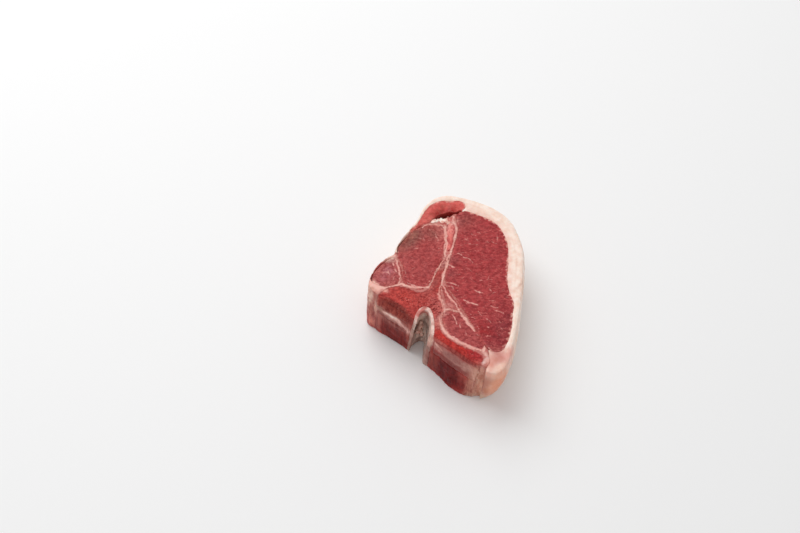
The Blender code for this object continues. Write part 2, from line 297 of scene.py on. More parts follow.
def freeze(obj, tree=None, **values):  # applies every modifier, with a Geometry Nodes tree last
    if tree:
        step = obj.modifiers.new(tree.name, "NODES")
        step.node_group = tree
        for item in tree.interface.items_tree:
            label = item.name.replace(" ", "")
            if item.in_out == "INPUT" and label in values:
                step[item.identifier] = values[label]
    graph = bpy.context.evaluated_depsgraph_get()
    made = bpy.data.meshes.new_from_object(obj.evaluated_get(graph), preserve_all_data_layers=True,
                                           depsgraph=graph)
    old = obj.data
    obj.modifiers.clear()
    obj.data = made
    bpy.data.meshes.remove(old)
    made.name = obj.name


# Where the flesh gives way: a place, how far round it that reaches, and the shift, in mm.
hollows = [
    ((-16.0, -0.3, 28.5), (10.0, 3.2, 5.0), (0.0, 2.2, -0.5)),  # the sawn edge of the vertebra leans back
    ((18.0, -1.5, 28.5), (13.0, 2.5, 4.0), (0.0, 0.7, -0.5)),
    ((33.6, -2.5, 14.0), (1.6, 4.0, 18.0), (0.2, 2.4, 0.0)),  # the fold beside the tip of the spine
    ((-27.2, -1.0, 14.0), (1.2, 2.0, 30.0), (0.0, 0.7, 0.0)),
    # The gap beside the flank narrows as it goes down.
    ((-30.6, 55.5, 17.0), (3.0, 4.5, 9.5), (0.7, -0.2, 0.0)),
    ((-26.4, 61.2, 18.0), (2.8, 2.6, 9.5), (1.0, -0.9, 0.0)),
    ((-30.6, 56.5, 28.5), (2.4, 5.0, 4.5), (0.1, -0.1, -1.8)),
    ((-26.4, 61.4, 28.5), (2.0, 2.4, 4.0), (0.2, -0.2, -1.4)),
]
# Slow waves that bend the bands across the sawn front: the size of the lumps, a seed and the height, in mm.
frontWaves = [(6.0, 71, 2.2), (2.0, 72, 0.7)]
# How a CAD solid becomes a soft skin; grow is towards the neighbours, in mm, so that no gap shows.
skin = {"quickCoarser": 1.5, "softening": 0.5, "softRounds": 3, "grow": 0.35}


def skinOf(node, piece, grid, fineFaces, tuck):  # tuck draws the outer wall in, in mm
    made = bpy.data.objects.new(piece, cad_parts[node].data.copy())
    scene.collection.objects.link(made)
    work = bmesh.new()
    work.from_mesh(made.data)
    bmesh.ops.remove_doubles(work, verts=work.verts, dist=1e-6)
    work.to_mesh(made.data)
    work.free()
    made.data.materials.clear()
    cells = made.modifiers.new("even grid", "REMESH")
    cells.mode = "VOXEL"
    cells.voxel_size = grid * 1.0 * mm
    soft = made.modifiers.new("soft edges", "SMOOTH")
    soft.factor = skin["softening"]
    soft.iterations = skin["softRounds"]
    freeze(made)
    co = coords(made.data)
    push = np.empty(len(co) * 3)
    made.data.vertex_normals.foreach_get("vector", push)
    push = push.reshape(-1, 3) * skin["grow"]
    apart, which = nearest(planOf(co)[0], outerRim)
    way = outerWay[which]
    beyond = np.clip((push[:, :2] * way).sum(1), 0, None) * smooth(2.2, 0.8, apart)
    push[:, :2] -= way * (beyond + tuck * smooth(1.8, 0.6, apart))[:, None]
    co += push * mm
    co[:, 2] = np.clip(co[:, 2], 0, thick * mm)
    made.data.vertices.foreach_set("co", co.ravel())
    # The two cut faces carry the fine lines of fat, so their grid is twice as fine.
    if fineFaces:
        work = bmesh.new()
        work.from_mesh(made.data)
        faces = [f for f in work.faces
                 if abs(f.normal.z) > 0.8 and not 1 < f.calc_center_median().z / mm < thick - 1]
        edges = {e for f in faces for e in f.edges}
        bmesh.ops.subdivide_edges(work, edges=list(edges), cuts=1, use_grid_fill=True)
        work.to_mesh(made.data)
        work.free()
    return made


cutBand = (1.4, 0.3)  # mm below a cut face where its look starts, and where it is full
strayWidth = 0.9  # mm that the edges of soft patches wander


# What every point of a skin knows about its place: cut is 1 on the upper face, -1 on the lower one and 0
# between, edge and outer are the distances to the piece's own outline and to the outside of the chop.
def measured(obj, node):
    flat, height = planOf(coords(obj.data))
    place = np.column_stack((flat, height))
    cut = smooth(thick - cutBand[0], thick - cutBand[1], height) - smooth(*cutBand, height)
    near = abs(cut) > 0.01
    edge = np.zeros(len(flat))
    if node in outlines:
        edge[near] = nearest(flat[near], outlines[node][0])[0]
    outer = nearest(flat, outerRim)[0]
    stray = [cloud(place, 2.6, k) + 0.5 * cloud(place, 0.9, k + 9) - 0.75 for k in (1, 2, 3)]
    return {"flat": flat, "height": height, "cut": cut, "edge": edge, "outer": outer, "place": place,
            "loose": place + strayWidth * np.column_stack(stray)}


def patchy(field, size, seed, run=1.0):  # random patches; a run under 1 draws them out upwards
    return cloud(field["place"] * (1, 1, run), size, seed)


def ragged(field, size, seed, width, run=1.0):  # what makes a border uneven by width, in mm
    return (patchy(field, size, seed, run) - 0.5) * width


def spread(field, place, reach, crisp=1.0):  # how strongly a soft spot acts at every point
    away = (((field["loose"] - place) / reach) ** 2).sum(1)
    return np.exp(-(away**crisp))


def mix(colours, share, colour):
    return colours + (np.asarray(colour) - colours) * np.clip(share, 0, 1)[:, None]


threadSeed = 3


def threadMask(field, threads):  # white lines of fat on both cut faces
    rng = np.random.default_rng(threadSeed)
    mask = np.zeros(len(field["flat"]))
    near = abs(field["cut"]) > 0.3
    flat = field["flat"][near]
    under = field["height"][near] < thick / 2
    wave = np.column_stack((1.1 * np.sin(flat[:, 1] * 0.45), np.cos(flat[:, 0] * 0.5)))
    shifted = flat + under[:, None] * wave  # the lines come out a little elsewhere below
    got = np.zeros(len(flat))
    for width, strength, *points in threads:
        line = curved(points, 0.4)
        stray = rng.normal(0, 0.16, line.shape)
        line[1:-1] += (stray[:-2] + stray[1:-1] + stray[2:]) / 2
        inside = ((shifted > line.min(0) - 2.5) & (shifted < line.max(0) + 2.5)).all(1)
        if not inside.any():
            continue
        share = np.linspace(0, 1, len(line))
        taper = width * (0.65 + 0.6 * np.sin(np.pi * (share * 0.9 + 0.05)))
        taper *= np.interp(share, np.linspace(0, 1, 9), rng.uniform(0.75, 1.7, 9))
        fade = strength * np.interp(share, np.linspace(0, 1, 7), rng.uniform(0.7, 1.1, 7))
        spot = shifted[inside]
        apart = np.sqrt(((spot[:, None, :] - line[None, :, :]) ** 2).sum(2))
        level = (np.exp(-((apart / taper) ** 2)) * fade).max(1)
        got[inside] = np.maximum(got[inside], level)
    mask[near] = got * (0.75 + 0.5 * patchy(field, 0.8, 21)[near])
    return np.clip(mask, 0, 1)


# The white seams between the muscles: half width, strength, then plan places.
seamLines = [
    # Round the head of the fillet.
    (0.28, 0.8, (-32.2, 43), (-31, 46.2), (-28.5, 48), (-26, 49.3), (-23.5, 48.9)),
    (0.44, 1.0, (-24.9, 50.5), (-21.8, 46.9), (-19, 43.4), (-16.8, 40.2), (-15.4, 37.7), (-14.1, 36.2)),
    (0.31, 0.95, (-24.7, 57), (-22.9, 54.6), (-20.4, 53), (-18.5, 51.2), (-16.9, 47.4), (-15.4, 43.7),
     (-13.5, 39.9), (-12.9, 36.8)),
    (0.37, 0.9, (-13.3, 38.5), (-12.9, 36.8), (-11.6, 34.3), (-10.1, 31.2), (-9.1, 28), (-7.9, 25.5),
     (-6.6, 23), (-6, 20.5)),
    (0.31, 0.75, (-14.1, 36.2), (-13.5, 33.7), (-12.9, 29.9), (-12.3, 26.2), (-11, 22.4), (-10.1, 19.3),
     (-9.8, 17.4)),
    (0.37, 0.9, (-9.9, 18.5), (-12.3, 16.2), (-14.8, 14.3), (-17.9, 13), (-20.4, 12.4), (-21.9, 10.9),
     (-23.5, 8.7), (-25.2, 6.2)),
    (0.31, 0.8, (-34.5, 23), (-31, 21.5), (-28.5, 19.3), (-26, 17.4), (-24.1, 15.5), (-22.9, 13.7),
     (-21.9, 11.2)),
    (0.81, 0.95, (-33.6, 5.2), (-31, 4.2), (-28.2, 4.4), (-25.6, 5.6)),
    (0.31, 0.85, (-6.6, 23.4), (-4.1, 22.1), (-1.6, 20.5), (0.25, 19.6), (3.4, 18.7), (6.5, 17.4),
     (8.4, 15.9)),
    (0.37, 1.0, (7.4, 16.6), (9.6, 15.7), (11.5, 14.9), (14.6, 13.5), (17.7, 12.4), (19.9, 11.8)),
    (0.25, 0.75, (2.4, 12.6), (4, 13.8), (6.5, 14.8), (8.4, 15.9)),
    (0.5, 0.7, (-6.2, 22), (-5.4, 19.9), (-4.1, 17.8), (-2.2, 16.4), (0.2, 14.5), (2.7, 12.4), (3.4, 9.9),
     (4.1, 7.4)),
    (0.56, 0.85, (4.1, 7.4), (5.9, 5.6), (7.1, 4.6), (9.6, 3.7), (12.7, 3.2), (15.9, 3.2), (19, 3.4),
     (22.7, 4.0), (25.2, 4.5), (27.4, 5.4)),
    (0.6, 0.35, (26.4, 5), (28.4, 5.6), (30.6, 5.2), (32.2, 3.6), (33, 1.4), (33.2, -1.6)),
    (0.4, 0.9, (27.7, 8), (28.2, 6.8), (28.8, 5.6)),
]
# The fine fat within the muscles, given the same way.
marbling = [
    (0.27, 0.82, (-10.4, 33.7), (-8.6, 33.6), (-7.2, 34.1)),
    (0.25, 0.63, (-6, 24.9), (-2.9, 26.2), (0.3, 26.8)),
    (0.25, 0.68, (7.1, 29.3), (9.5, 29.6), (11.5, 30.5)),
    (0.27, 0.63, (17.7, 26.8), (19.3, 27.1), (20.9, 28)),
    (0.29, 0.72, (6.5, 22.1), (9.6, 22.7), (13, 23.7)), (0.25, 0.54, (20, 26), (24, 26.8)),
    (0.23, 0.54, (15, 21), (16.6, 20.1), (18, 19.8)), (0.23, 0.54, (20, 20.3), (23, 19.5)),
    (0.22, 0.54, (22.5, 17), (24, 16.5)),
    (0.25, 0.44, (-12.2, 51.2), (-11.6, 49.3)), (0.25, 0.44, (-9.1, 53), (-7.2, 52.4)),
    (0.25, 0.50, (-2.3, 60.5), (-0.4, 58)),
    (0.23, 0.54, (-7.5, 41), (-4.5, 41.6), (-1, 41)), (0.23, 0.44, (8, 36), (8.4, 38), (8, 40)),
    (0.25, 0.63, (-10.6, 41), (-8.6, 41.4)),
    (0.22, 0.44, (-3.5, 37), (-1, 37.3), (1.5, 36.6)), (0.22, 0.44, (2, 33.4), (4.5, 33)),
    (0.25, 0.50, (12, 34.2), (14, 33.2)),
    (0.25, 0.63, (-4.4, 23.4), (-2.2, 24.4), (-0.6, 23.7)),
    (0.23, 0.54, (1.2, 19.8), (2.2, 18.2), (3.4, 17.8)),
    (0.27, 0.68, (7.1, 13), (9, 11.8), (11.5, 9.9)), (0.25, 0.54, (12, 11.5), (14, 9.3)),
    (0.22, 0.44, (16.5, 9.5), (18.5, 7.8)),
    (0.25, 0.54, (-26, 44.5), (-24, 43), (-22, 41.5)), (0.23, 0.44, (-19, 42), (-17, 39), (-15.5, 36)),
    (0.25, 0.44, (-28.5, 38.5), (-26.8, 37.6)),
    (0.32, 0.63, (-19, 14.4), (-15, 15.2), (-12, 16.5)), (0.25, 0.44, (-24, 19.2), (-21.5, 17)),
    (0.33, 0.68, (-30.5, 18.7), (-29.6, 18)), (0.30, 0.72, (-28.2, 17.1), (-26.5, 16)),
    (0.27, 0.54, (-31, 12), (-29, 13.5), (-27.5, 13)),
    (0.39, 0.44, (-30.4, 14.6), (-29.4, 13.8)), (0.25, 0.44, (-25.8, 13.4), (-25, 11.6)),
    (0.25, 0.54, (31, 22.4), (31.8, 22)), (0.23, 0.44, (27, 20.3), (29.5, 19.8)),
    (0.25, 0.44, (25, 12.5), (27.5, 13.8)),
]

# Very fine fat scattered through the lean, along the grain.
fineFat = {"seed": 12, "count": 260, "low": (-30, 9), "high": (33, 60), "turn": 0.62, "turnSpread": 0.4,
           "length": (0.8, 3.2), "width": (0.09, 0.17), "strength": (0.25, 0.7)}


def scattered(how):
    rng = np.random.default_rng(how["seed"])
    threads = []
    for _ in range(how["count"]):
        place = rng.uniform(how["low"], how["high"])
        angle = how["turn"] + rng.normal(0, how["turnSpread"])
        run = np.array((np.cos(angle), np.sin(angle))) * rng.uniform(*how["length"]) / 2
        aside = np.array((-run[1], run[0])) * rng.uniform(-0.5, 0.5)
        threads.append((rng.uniform(*how["width"]), rng.uniform(*how["strength"]), place - run,
                        place + aside, place + run))
    return threads


fineThreads = scattered(fineFat)
# The sawn front is painted darker than the top: partly the tissues' own colour, partly painted shade, since
# its colours are divided by this share only.
frontLight = 0.64  # the share of the light that the sawn face gets


def shaded(red, green, blue):  # a colour read on the dimmer sawn face, brightened by frontLight only in part, so part of the sawn face's shade stays painted in
    return np.clip(hue(red, green, blue) / frontLight, 0, 0.92)


# Soft patches of colour over every piece: place, reach, colour, weight and how crisp its edge is.
topPatches = [
    ((-30, 3.2, 28), (4.2, 2.6, 6), hue(240, 188, 174), 0.9, 2),
    ((-25.2, 5.0, 28), (2.4, 1.2, 5), hue(238, 170, 158), 0.85, 1.5),
    ((-24.5, 8.4, 28), (2.6, 1.4, 6), hue(206, 120, 114), 0.5, 1),
    ((28.4, 1.6, 27.5), (2.8, 1.8, 3), hue(184, 62, 64), 0.8, 1.5),
    ((32.4, 2.2, 28), (1.2, 2.6, 5), hue(255, 236, 230), 0.95, 2),
    ((30.4, 5.2, 28), (2.0, 0.9, 4), hue(246, 208, 197), 0.85, 1.5),
    ((35.0, 4.2, 28), (3.2, 5.2, 5), hue(220, 150, 136), 0.9, 2),
    ((33.8, 9.0, 28), (3.2, 2.2, 4), hue(186, 104, 98), 0.7, 1),
    ((37.6, 8, 28), (2.4, 3.2, 4), hue(204, 128, 118), 0.8, 1),
    ((38.8, 0, 28), (2.0, 3.2, 4), hue(240, 204, 188), 0.7, 1.5),
    ((42.5, 13, 28), (2.2, 8, 99), hue(232, 172, 159), 0.75, 1),
    ((39, 12.5, 28), (2.4, 5, 6), hue(240, 170, 158), 0.85, 1),
    ((-13.2, 36.4, 28), (1.6, 2.2, 99), hue(210, 134, 128), 0.8, 1),
    ((-11.8, 33.4, 28), (1.2, 3.4, 99), hue(188, 120, 114), 0.7, 1.5),
    ((-22.4, 48.5, 28), (2.2, 3.2, 6), hue(224, 146, 137), 0.6, 1),
    ((-22.6, 54.2, 28), (1.4, 2.4, 5), hue(232, 170, 160), 0.7, 1),
    ((-28, 48.2, 28), (4, 1.8, 5), hue(204, 126, 116), 0.6, 1),
    ((-19.5, 41, 28), (2.4, 4.5, 8), hue(200, 98, 94), 0.5, 1),
    ((-34.6, 32.5, 28), (1.6, 6, 99), hue(150, 82, 71), 0.85, 1),
    ((-9.2, 20, 28), (1.6, 5.5, 99), hue(196, 116, 108), 0.5, 1),
    ((2.6, 15.4, 28), (2.6, 1.8, 99), hue(208, 130, 124), 0.6, 1),
    ((6, 16.2, 28), (2.2, 1.4, 99), hue(208, 126, 119), 0.5, 1),
    ((3.4, 9.2, 28), (1.2, 4.0, 6), hue(212, 150, 141), 0.7, 1),
    ((6.4, 5, 28), (2.0, 1.6, 5), hue(226, 152, 140), 0.8, 1),
]
# On the sawn front, the patches given through shaded carry part of the sawn face's shade as painted shade.
frontPatches = [
    ((-15.5, 0, 18), (11, 2.4, 12), shaded(134, 78, 71), 0.95, 4),
    ((-34.8, 20.5, 14), (4, 3.4, 22), hue(246, 214, 198), 0.95, 2),
    ((-33.5, 13, 14), (2.5, 3.2, 12), hue(206, 132, 122), 0.6, 1),
    ((-15.5, 0.2, 25), (11, 2.0, 4.0), shaded(126, 58, 52), 0.95, 3),
    ((-16, 1.0, 26.9), (10, 1.2, 1.5), hue(104, 38, 34), 0.85, 2),
    ((-11, 0.4, 26), (4, 1.8, 2.4), shaded(108, 48, 44), 0.6, 1),
    ((-15.5, 0, 6.5), (10.8, 3, 8.6), shaded(108, 44, 42), 0.95, 4),
    ((-14, 0, 1.5), (3, 3, 3), shaded(90, 28, 30), 0.6, 1),
    ((-16, 0, 14.6), (11, 3, 1.9), shaded(137, 85, 79), 0.7, 2),
    ((-6, 0, 15.5), (1.6, 3, 3.2), shaded(162, 112, 103), 0.85, 1.5),
    ((-6, 0, 6), (1.2, 3, 7), shaded(118, 68, 61), 0.7, 1.5),
    ((-4.2, 0, 12), (1.3, 3, 14), shaded(134, 94, 83), 0.8, 2),
    ((-31.3, 1, 24), (3.4, 5, 6), shaded(190, 154, 140), 0.9, 2),
    ((-32, 1, 16), (1.6, 5, 3.5), shaded(176, 140, 126), 0.8, 1.5),
    ((-29, 0.5, 15), (1.8, 4, 5), shaded(132, 68, 60), 0.85, 1.5),
    ((-30.5, 0, 10), (3.5, 5, 5), shaded(140, 76, 68), 0.9, 2),
    ((-31.5, 0, 4.5), (2.5, 5, 4), shaded(174, 90, 82), 0.85, 1),
    ((-28.6, 0, 4.6), (1.6, 5, 2), shaded(186, 116, 102), 0.7, 1),
    ((-26.5, 0, 20), (1.2, 3, 8), shaded(170, 124, 110), 0.85, 1.5),
    ((-26.4, 0, 8), (1.4, 3, 8), shaded(150, 86, 80), 0.8, 1.5),
    ((-26.5, 0, 16.5), (1.2, 3, 4.5), shaded(186, 140, 126), 0.8, 1.5),
    ((-24.4, 0, 9), (1.2, 3, 9), shaded(142, 83, 77), 0.7, 1.5),
    ((2.8, 0, 26.5), (1.6, 3, 2.2), shaded(186, 142, 130), 0.8, 1),
    ((3.2, 0, 16), (1.1, 3, 5), shaded(92, 64, 56), 0.8, 1.5),
    ((3.6, 0, 6), (1.4, 3, 5), shaded(130, 102, 93), 0.7, 1),
    ((12, -1, 21.6), (5.8, 3, 3.2), shaded(162, 110, 103), 0.9, 3),
    ((20, -1.5, 20.6), (7.5, 3, 4.2), shaded(142, 96, 90), 0.9, 3),
    ((27, -1.5, 20.2), (3.8, 3, 4.8), shaded(156, 112, 103), 0.85, 2),
    ((20, -0.6, 26.2), (9.5, 2.4, 1.5), shaded(134, 66, 62), 0.85, 2),
    ((10, -0.6, 26.2), (4.0, 2.4, 1.6), shaded(176, 100, 92), 0.7, 1.5),
    ((17, 0, 8.0), (10.5, 4, 9.0), shaded(88, 22, 24), 0.95, 4),
    ((18, -1, 16.4), (10.5, 3, 2.0), shaded(120, 62, 58), 0.9, 3),
    ((8.6, 0, 8.6), (2.6, 4, 9.4), shaded(118, 56, 51), 0.9, 2.5),
    ((25.6, -1, 12), (2.6, 4, 3.4), shaded(124, 62, 57), 0.6, 1),
    ((6.0, 0, 22), (1.6, 3, 5), shaded(206, 168, 154), 0.85, 2),
    ((6.0, 0, 8), (1.5, 3, 10), shaded(136, 87, 79), 0.8, 2),
    ((30.3, -1.5, 9), (3.2, 4, 14), shaded(151, 97, 85), 0.95, 2.5),
    ((31.6, -1.5, 20), (2.6, 4, 7), shaded(178, 130, 115), 0.85, 1.5),
    ((33.6, -2, 10), (2.2, 4, 14), shaded(196, 150, 130), 0.85, 1.5),
    ((31, -1.5, 0.8), (3.4, 4, 2.2), shaded(168, 136, 120), 0.7, 1),
    # The fat's sawn side is painted darker and more orange than its top: partly dried fat, partly painted
    # shade.
    ((36.8, -2, 14), (2.4, 5, 12), shaded(154, 98, 84), 0.95, 2),
    ((38.8, -1, 11), (1.8, 5, 9), shaded(173, 114, 92), 0.85, 1.5),
    ((38.6, -1, 21.5), (2.4, 5, 4.5), shaded(168, 112, 96), 0.85, 1.5),
    ((41.4, 1, 14), (2.6, 6, 13), shaded(194, 130, 102), 0.9, 2),
    ((43.5, 3, 18), (2, 7, 8), shaded(208, 128, 96), 0.85, 1),
    ((36.8, -2, 26.2), (2.4, 5, 2.4), shaded(198, 140, 124), 0.8, 1.5),
    ((41, 1, 26.6), (3, 5, 2), shaded(214, 152, 132), 0.8, 1.5),
    ((36.5, -2, 2), (3, 5, 3), shaded(178, 146, 126), 0.8, 1.5),
]
# Bands and creases across the sawn front: half width, weight, colour, then places across and up.
frontLines = [
    (1.7, 0.85, shaded(158, 118, 105), (-26.4, 20.2), (-24, 19.4), (-21.5, 19), (-19.5, 18.6)),
    (1.9, 0.95, shaded(206, 164, 154), (-20.8, 18.8), (-18, 18.6), (-15.6, 19), (-13.6, 18.6),
     (-11.6, 17.4)),
    (0.5, 0.8, shaded(232, 196, 186), (-19.6, 19.0), (-17.6, 18.2), (-15.8, 19.3), (-14.4, 19.6)),
    (1.5, 0.9, shaded(184, 138, 130), (-13.4, 17.8), (-10.6, 17), (-8, 16.6), (-5.6, 15.8)),
    (0.4, 0.6, shaded(98, 42, 40), (-24.6, 16.4), (-21, 15.8), (-17, 15.2), (-13, 14.6), (-9, 13.8)),
    # The dark line just under the red strip along the top: a painted shadow under its edge.
    (0.3, 0.5, shaded(92, 40, 38), (10, 24.8), (14, 25), (20, 25), (26, 25.2), (29, 24.8)),
    (0.6, 0.7, shaded(204, 162, 150), (5.6, 25.4), (7, 23.6), (9.5, 22.6), (12.4, 21.6)),
    (0.5, 0.45, shaded(176, 132, 124), (13, 19.6), (17, 19), (20.5, 18.8), (24, 19.8), (27.5, 21)),
    (0.5, 0.45, shaded(190, 144, 130), (26.5, 24), (28.8, 21), (30.2, 17), (31, 12), (30.6, 7)),
    # The dark line down the fold beside the tip of the spine: painted shade in the crease.
    (0.3, 0.6, shaded(122, 64, 56), (34.9, 27), (34.8, 23), (35.4, 18), (34.9, 13), (35.3, 8), (34.6, 2)),
]


def patched(field, colours, patches):
    for place, reach, colour, weight, crisp in patches:
        colours = mix(colours, spread(field, place, reach, crisp) * weight, colour)
    return colours


def lined(field, colours, lines):  # lines on the sawn front, which is where the plan's y is small
    spot = field["loose"][:, [0, 2]]
    share = smooth(7.0, 3.0, field["flat"][:, 1]) * (1 - abs(field["cut"]))
    for width, weight, colour, *points in lines:
        line = curved(points, 0.6)
        close = (share > 0.02) & ((spot > line.min(0) - 4) & (spot < line.max(0) + 4)).all(1)
        if not close.any():
            continue
        apart, which = nearest(spot[close], line)
        thin = 0.55 + 0.45 * np.sin(np.pi * (which / len(line) * 0.9 + 0.05))
        level = np.zeros(len(spot))
        level[close] = np.exp(-((apart / (width * thin)) ** 3)) * share[close]
        colours = mix(colours, level * weight, colour)
    return colours


# Shader groups that several materials share.

def blend(tree, kind, share, a, b):
    made = tree.nodes.new("ShaderNodeMix")
    made.data_type = "RGBA"
    made.blend_type = kind
    for socket, value in ((made.inputs[0], share), (made.inputs[6], a), (made.inputs[7], b)):
        if isinstance(value, bpy.types.NodeSocket):
            tree.links.new(value, socket)
        elif isinstance(value, (int, float)):
            socket.default_value = value
        else:
            socket.default_value = (*value, 1.0)
    return made.outputs[2]


def millimetres(tree, along=1.0):  # object place in mm, squashed along the fibres
    place = addNode(tree, "ShaderNodeTexCoord").outputs["Object"]
    return vector(tree, "MULTIPLY", place, (1000.0, 1000.0, 1000.0 * along))


def lumps(tree, place, size, detail=2.0, roughness=0.5):
    links = {"Vector": place, "Scale": calc(tree, "DIVIDE", 1.0, size), "Detail": detail,
             "Roughness": roughness}
    return addNode(tree, "ShaderNodeTexNoise", links).outputs


def cells(tree, place, size, feature):
    links = {"Vector": place, "Scale": calc(tree, "DIVIDE", 1.0, size)}
    return addNode(tree, "ShaderNodeTexVoronoi", links, feature=feature).outputs[0]


def bent(tree, place, size, amount):
    stray = vector(tree, "SUBTRACT", lumps(tree, place, size, 3.0)[1], (0.5, 0.5, 0.5))
    return vector(tree, "ADD", place, vector(tree, "SCALE", stray, amount))


def fleshGrainGroup():  # bundles of muscle fibre, cut across on the faces and running upright on the sides
    tree, given, result = newTree("flesh grain", "ShaderNodeTree", [
        ("Bundle Size", "Float", 1.2), ("Turn", "Float", 0.65), ("Stretch", "Float", 0.45)],
        [("Bundles", "Float"), ("Mottle", "Float"), ("Flecks", "Float"), ("Height", "Float")])
    place = millimetres(tree, 0.14)
    axis = addNode(tree, "ShaderNodeCombineXYZ",
                   {"Z": calc(tree, "MULTIPLY", given["Turn"], -1.0)}).outputs[0]
    turned = addNode(tree, "ShaderNodeVectorRotate", {"Vector": place, "Rotation": axis},
                     rotation_type="EULER_XYZ").outputs[0]
    squash = addNode(tree, "ShaderNodeCombineXYZ", {"X": given["Stretch"], "Y": 1.0, "Z": 1.0}).outputs[0]
    warped = bent(tree, vector(tree, "MULTIPLY", turned, squash), 1.7, 1.5)
    net = cells(tree, warped, given["Bundle Size"], "DISTANCE_TO_EDGE")
    fine = cells(tree, warped, calc(tree, "MULTIPLY", given["Bundle Size"], 0.45), "DISTANCE_TO_EDGE")
    patchy = ramp(tree, lumps(tree, place, 2.6, 2.0)[0], 0.42, 0.66)
    lines = calc(tree, "MULTIPLY", ramp(tree, net, 0.0, 0.13, 1.0, 0.0), patchy)
    mottle = lumps(tree, warped, 1.2, 4.0, 0.7)[0]
    flecks = ramp(tree, lumps(tree, warped, 0.75, 2.0, 0.5)[0], 0.58, 0.7)
    height = calc(tree, "ADD", calc(tree, "MULTIPLY", fine, 0.8), calc(tree, "MULTIPLY", net, 0.7))
    height = calc(tree, "ADD", height, calc(tree, "MULTIPLY", mottle, 0.9))
    for label, socket in (("Bundles", lines), ("Mottle", mottle), ("Flecks", flecks), ("Height", height)):
        tree.links.new(socket, result[label])
    return tree


def wetSheenGroup():  # where the surface is wetter and where it has dried
    tree, given, result = newTree("wet sheen", "ShaderNodeTree", [
        ("Wet", "Float", 0.25), ("Dry", "Float", 0.5), ("Patch Size", "Float", 3.0)],
                                  [("Roughness", "Float")])
    patches = lumps(tree, millimetres(tree), given["Patch Size"], 4.0, 0.6)[0]
    tree.links.new(ramp(tree, patches, 0.35, 0.65, given["Wet"], given["Dry"]), result["Roughness"])
    return tree


def fatLobulesGroup():  # the small soft grains of firm fat
    tree, given, result = newTree("fat lobules", "ShaderNodeTree", [("Lobule Size", "Float", 1.2)],
        [("Lobules", "Float"), ("Clouds", "Float"), ("Height", "Float")])
    place = millimetres(tree, 0.5)
    lobes = cells(tree, bent(tree, place, 2.0, 1.5), given["Lobule Size"], "SMOOTH_F1")
    clouds = lumps(tree, place, 3.4, 5.0, 0.6)[0]
    small = calc(tree, "MULTIPLY", lumps(tree, place, 0.8, 3.0)[0], 0.9)
    height = calc(tree, "ADD", calc(tree, "MULTIPLY", lobes, -0.8), small)
    for label, socket in (("Lobules", lobes), ("Clouds", clouds), ("Height", height)):
        tree.links.new(socket, result[label])
    return tree


def bonePoresGroup():  # the open cells of red marrow bone
    tree, given, result = newTree("bone pores", "ShaderNodeTree",
                                  [("Pore Size", "Float", 0.8), ("Cover", "Float", 0.5)],
        [("Pores", "Float"), ("Struts", "Float"), ("Height", "Float")])
    place = millimetres(tree)
    warped = bent(tree, bent(tree, place, 1.1, 1.1), 0.45, 0.35)
    dots = cells(tree, warped, given["Pore Size"], "F1")
    struts = lumps(tree, warped, calc(tree, "MULTIPLY", given["Pore Size"], 0.7), 3.0, 0.6)[0]
    least = calc(tree, "SUBTRACT", 0.7, calc(tree, "MULTIPLY", given["Cover"], 0.5))
    where = ramp(tree, lumps(tree, place, 2.2, 3.0)[0], least, calc(tree, "ADD", least, 0.25))
    size = ramp(tree, lumps(tree, place, 1.1, 2.0)[0], 0.38, 0.62, 0.2, 0.56)
    pores = calc(tree, "MULTIPLY", ramp(tree, dots, calc(tree, "MULTIPLY", size, 0.6), size, 1.0, 0.0),
                 where)
    lines = calc(tree, "MULTIPLY", ramp(tree, struts, 0.54, 0.68), where)
    for label, socket in (("Pores", pores), ("Struts", lines),
                          ("Height", calc(tree, "MULTIPLY", pores, -1.0))):
        tree.links.new(socket, result[label])
    return tree


groups = {"grain": fleshGrainGroup(), "sheen": wetSheenGroup(), "lobules": fatLobulesGroup(),
          "pores": bonePoresGroup()}


def placed(tree, group, **values):  # a shared group with this material's own numbers
    made = tree.nodes.new("ShaderNodeGroup")
    made.node_tree = groups[group]
    for label, value in values.items():
        made.inputs[label.replace("_", " ")].default_value = value
    return made.outputs


def newMaterial(name):
    material = bpy.data.materials.new(name)
    material.use_nodes = True
    return material, material.node_tree, material.node_tree.nodes["Principled BSDF"]


def painted(tree, name="paint"):
    return addNode(tree, "ShaderNodeAttribute", attribute_name=name).outputs


def toned(tree, base, share, look):  # the painted colour, darker and lighter by turns
    dark = blend(tree, "MULTIPLY", 1.0, base, look["dark"])
    light = blend(tree, "MULTIPLY", 1.0, base, look["light"])
    return blend(tree, "MIX", share, dark, light)


def over(tree, body, mask, amount, tint):
    return blend(tree, "MIX", calc(tree, "MULTIPLY", mask, amount), body, tint)


# The fat threads, the sheen and the bump go over every body.
def finishShader(tree, shader, body, height, look):
    threads = ramp(tree, painted(tree, "thread")["Fac"], 0.12, 0.7)
    body = over(tree, body, threads, look["threadShow"], look["threadTint"])
    tree.links.new(body, shader.inputs["Base Color"])
    tree.links.new(placed(tree, "sheen", Wet=look["wet"], Dry=look["dry"])[0], shader.inputs["Roughness"])
    bump = addNode(tree, "ShaderNodeBump", {"Height": height, "Strength": look["bump"],
                                            "Distance": 0.15 * mm})
    tree.links.new(bump.outputs[0], shader.inputs["Normal"])
    shader.inputs["Subsurface Weight"].default_value = look["soak"]
    shader.inputs["Subsurface Radius"].default_value = look["soakColour"]
    shader.inputs["Subsurface Scale"].default_value = 1.2 * mm
    shader.inputs["Specular IOR Level"].default_value = look["gloss"]


def leanMaterial(name, look):
    material, tree, shader = newMaterial(name)
    grain = placed(tree, "grain", Bundle_Size=look["bundle"], Turn=look["turn"], Stretch=look["stretch"])
    body = toned(tree, painted(tree)["Color"], ramp(tree, grain["Mottle"], 0.36, 0.64), look)
    body = over(tree, body, grain["Bundles"], look["bundleShow"], look["fatTint"])
    body = over(tree, body, grain["Flecks"], look["fleckShow"], look["fatTint"])
    finishShader(tree, shader, body, grain["Height"], look)
    return material


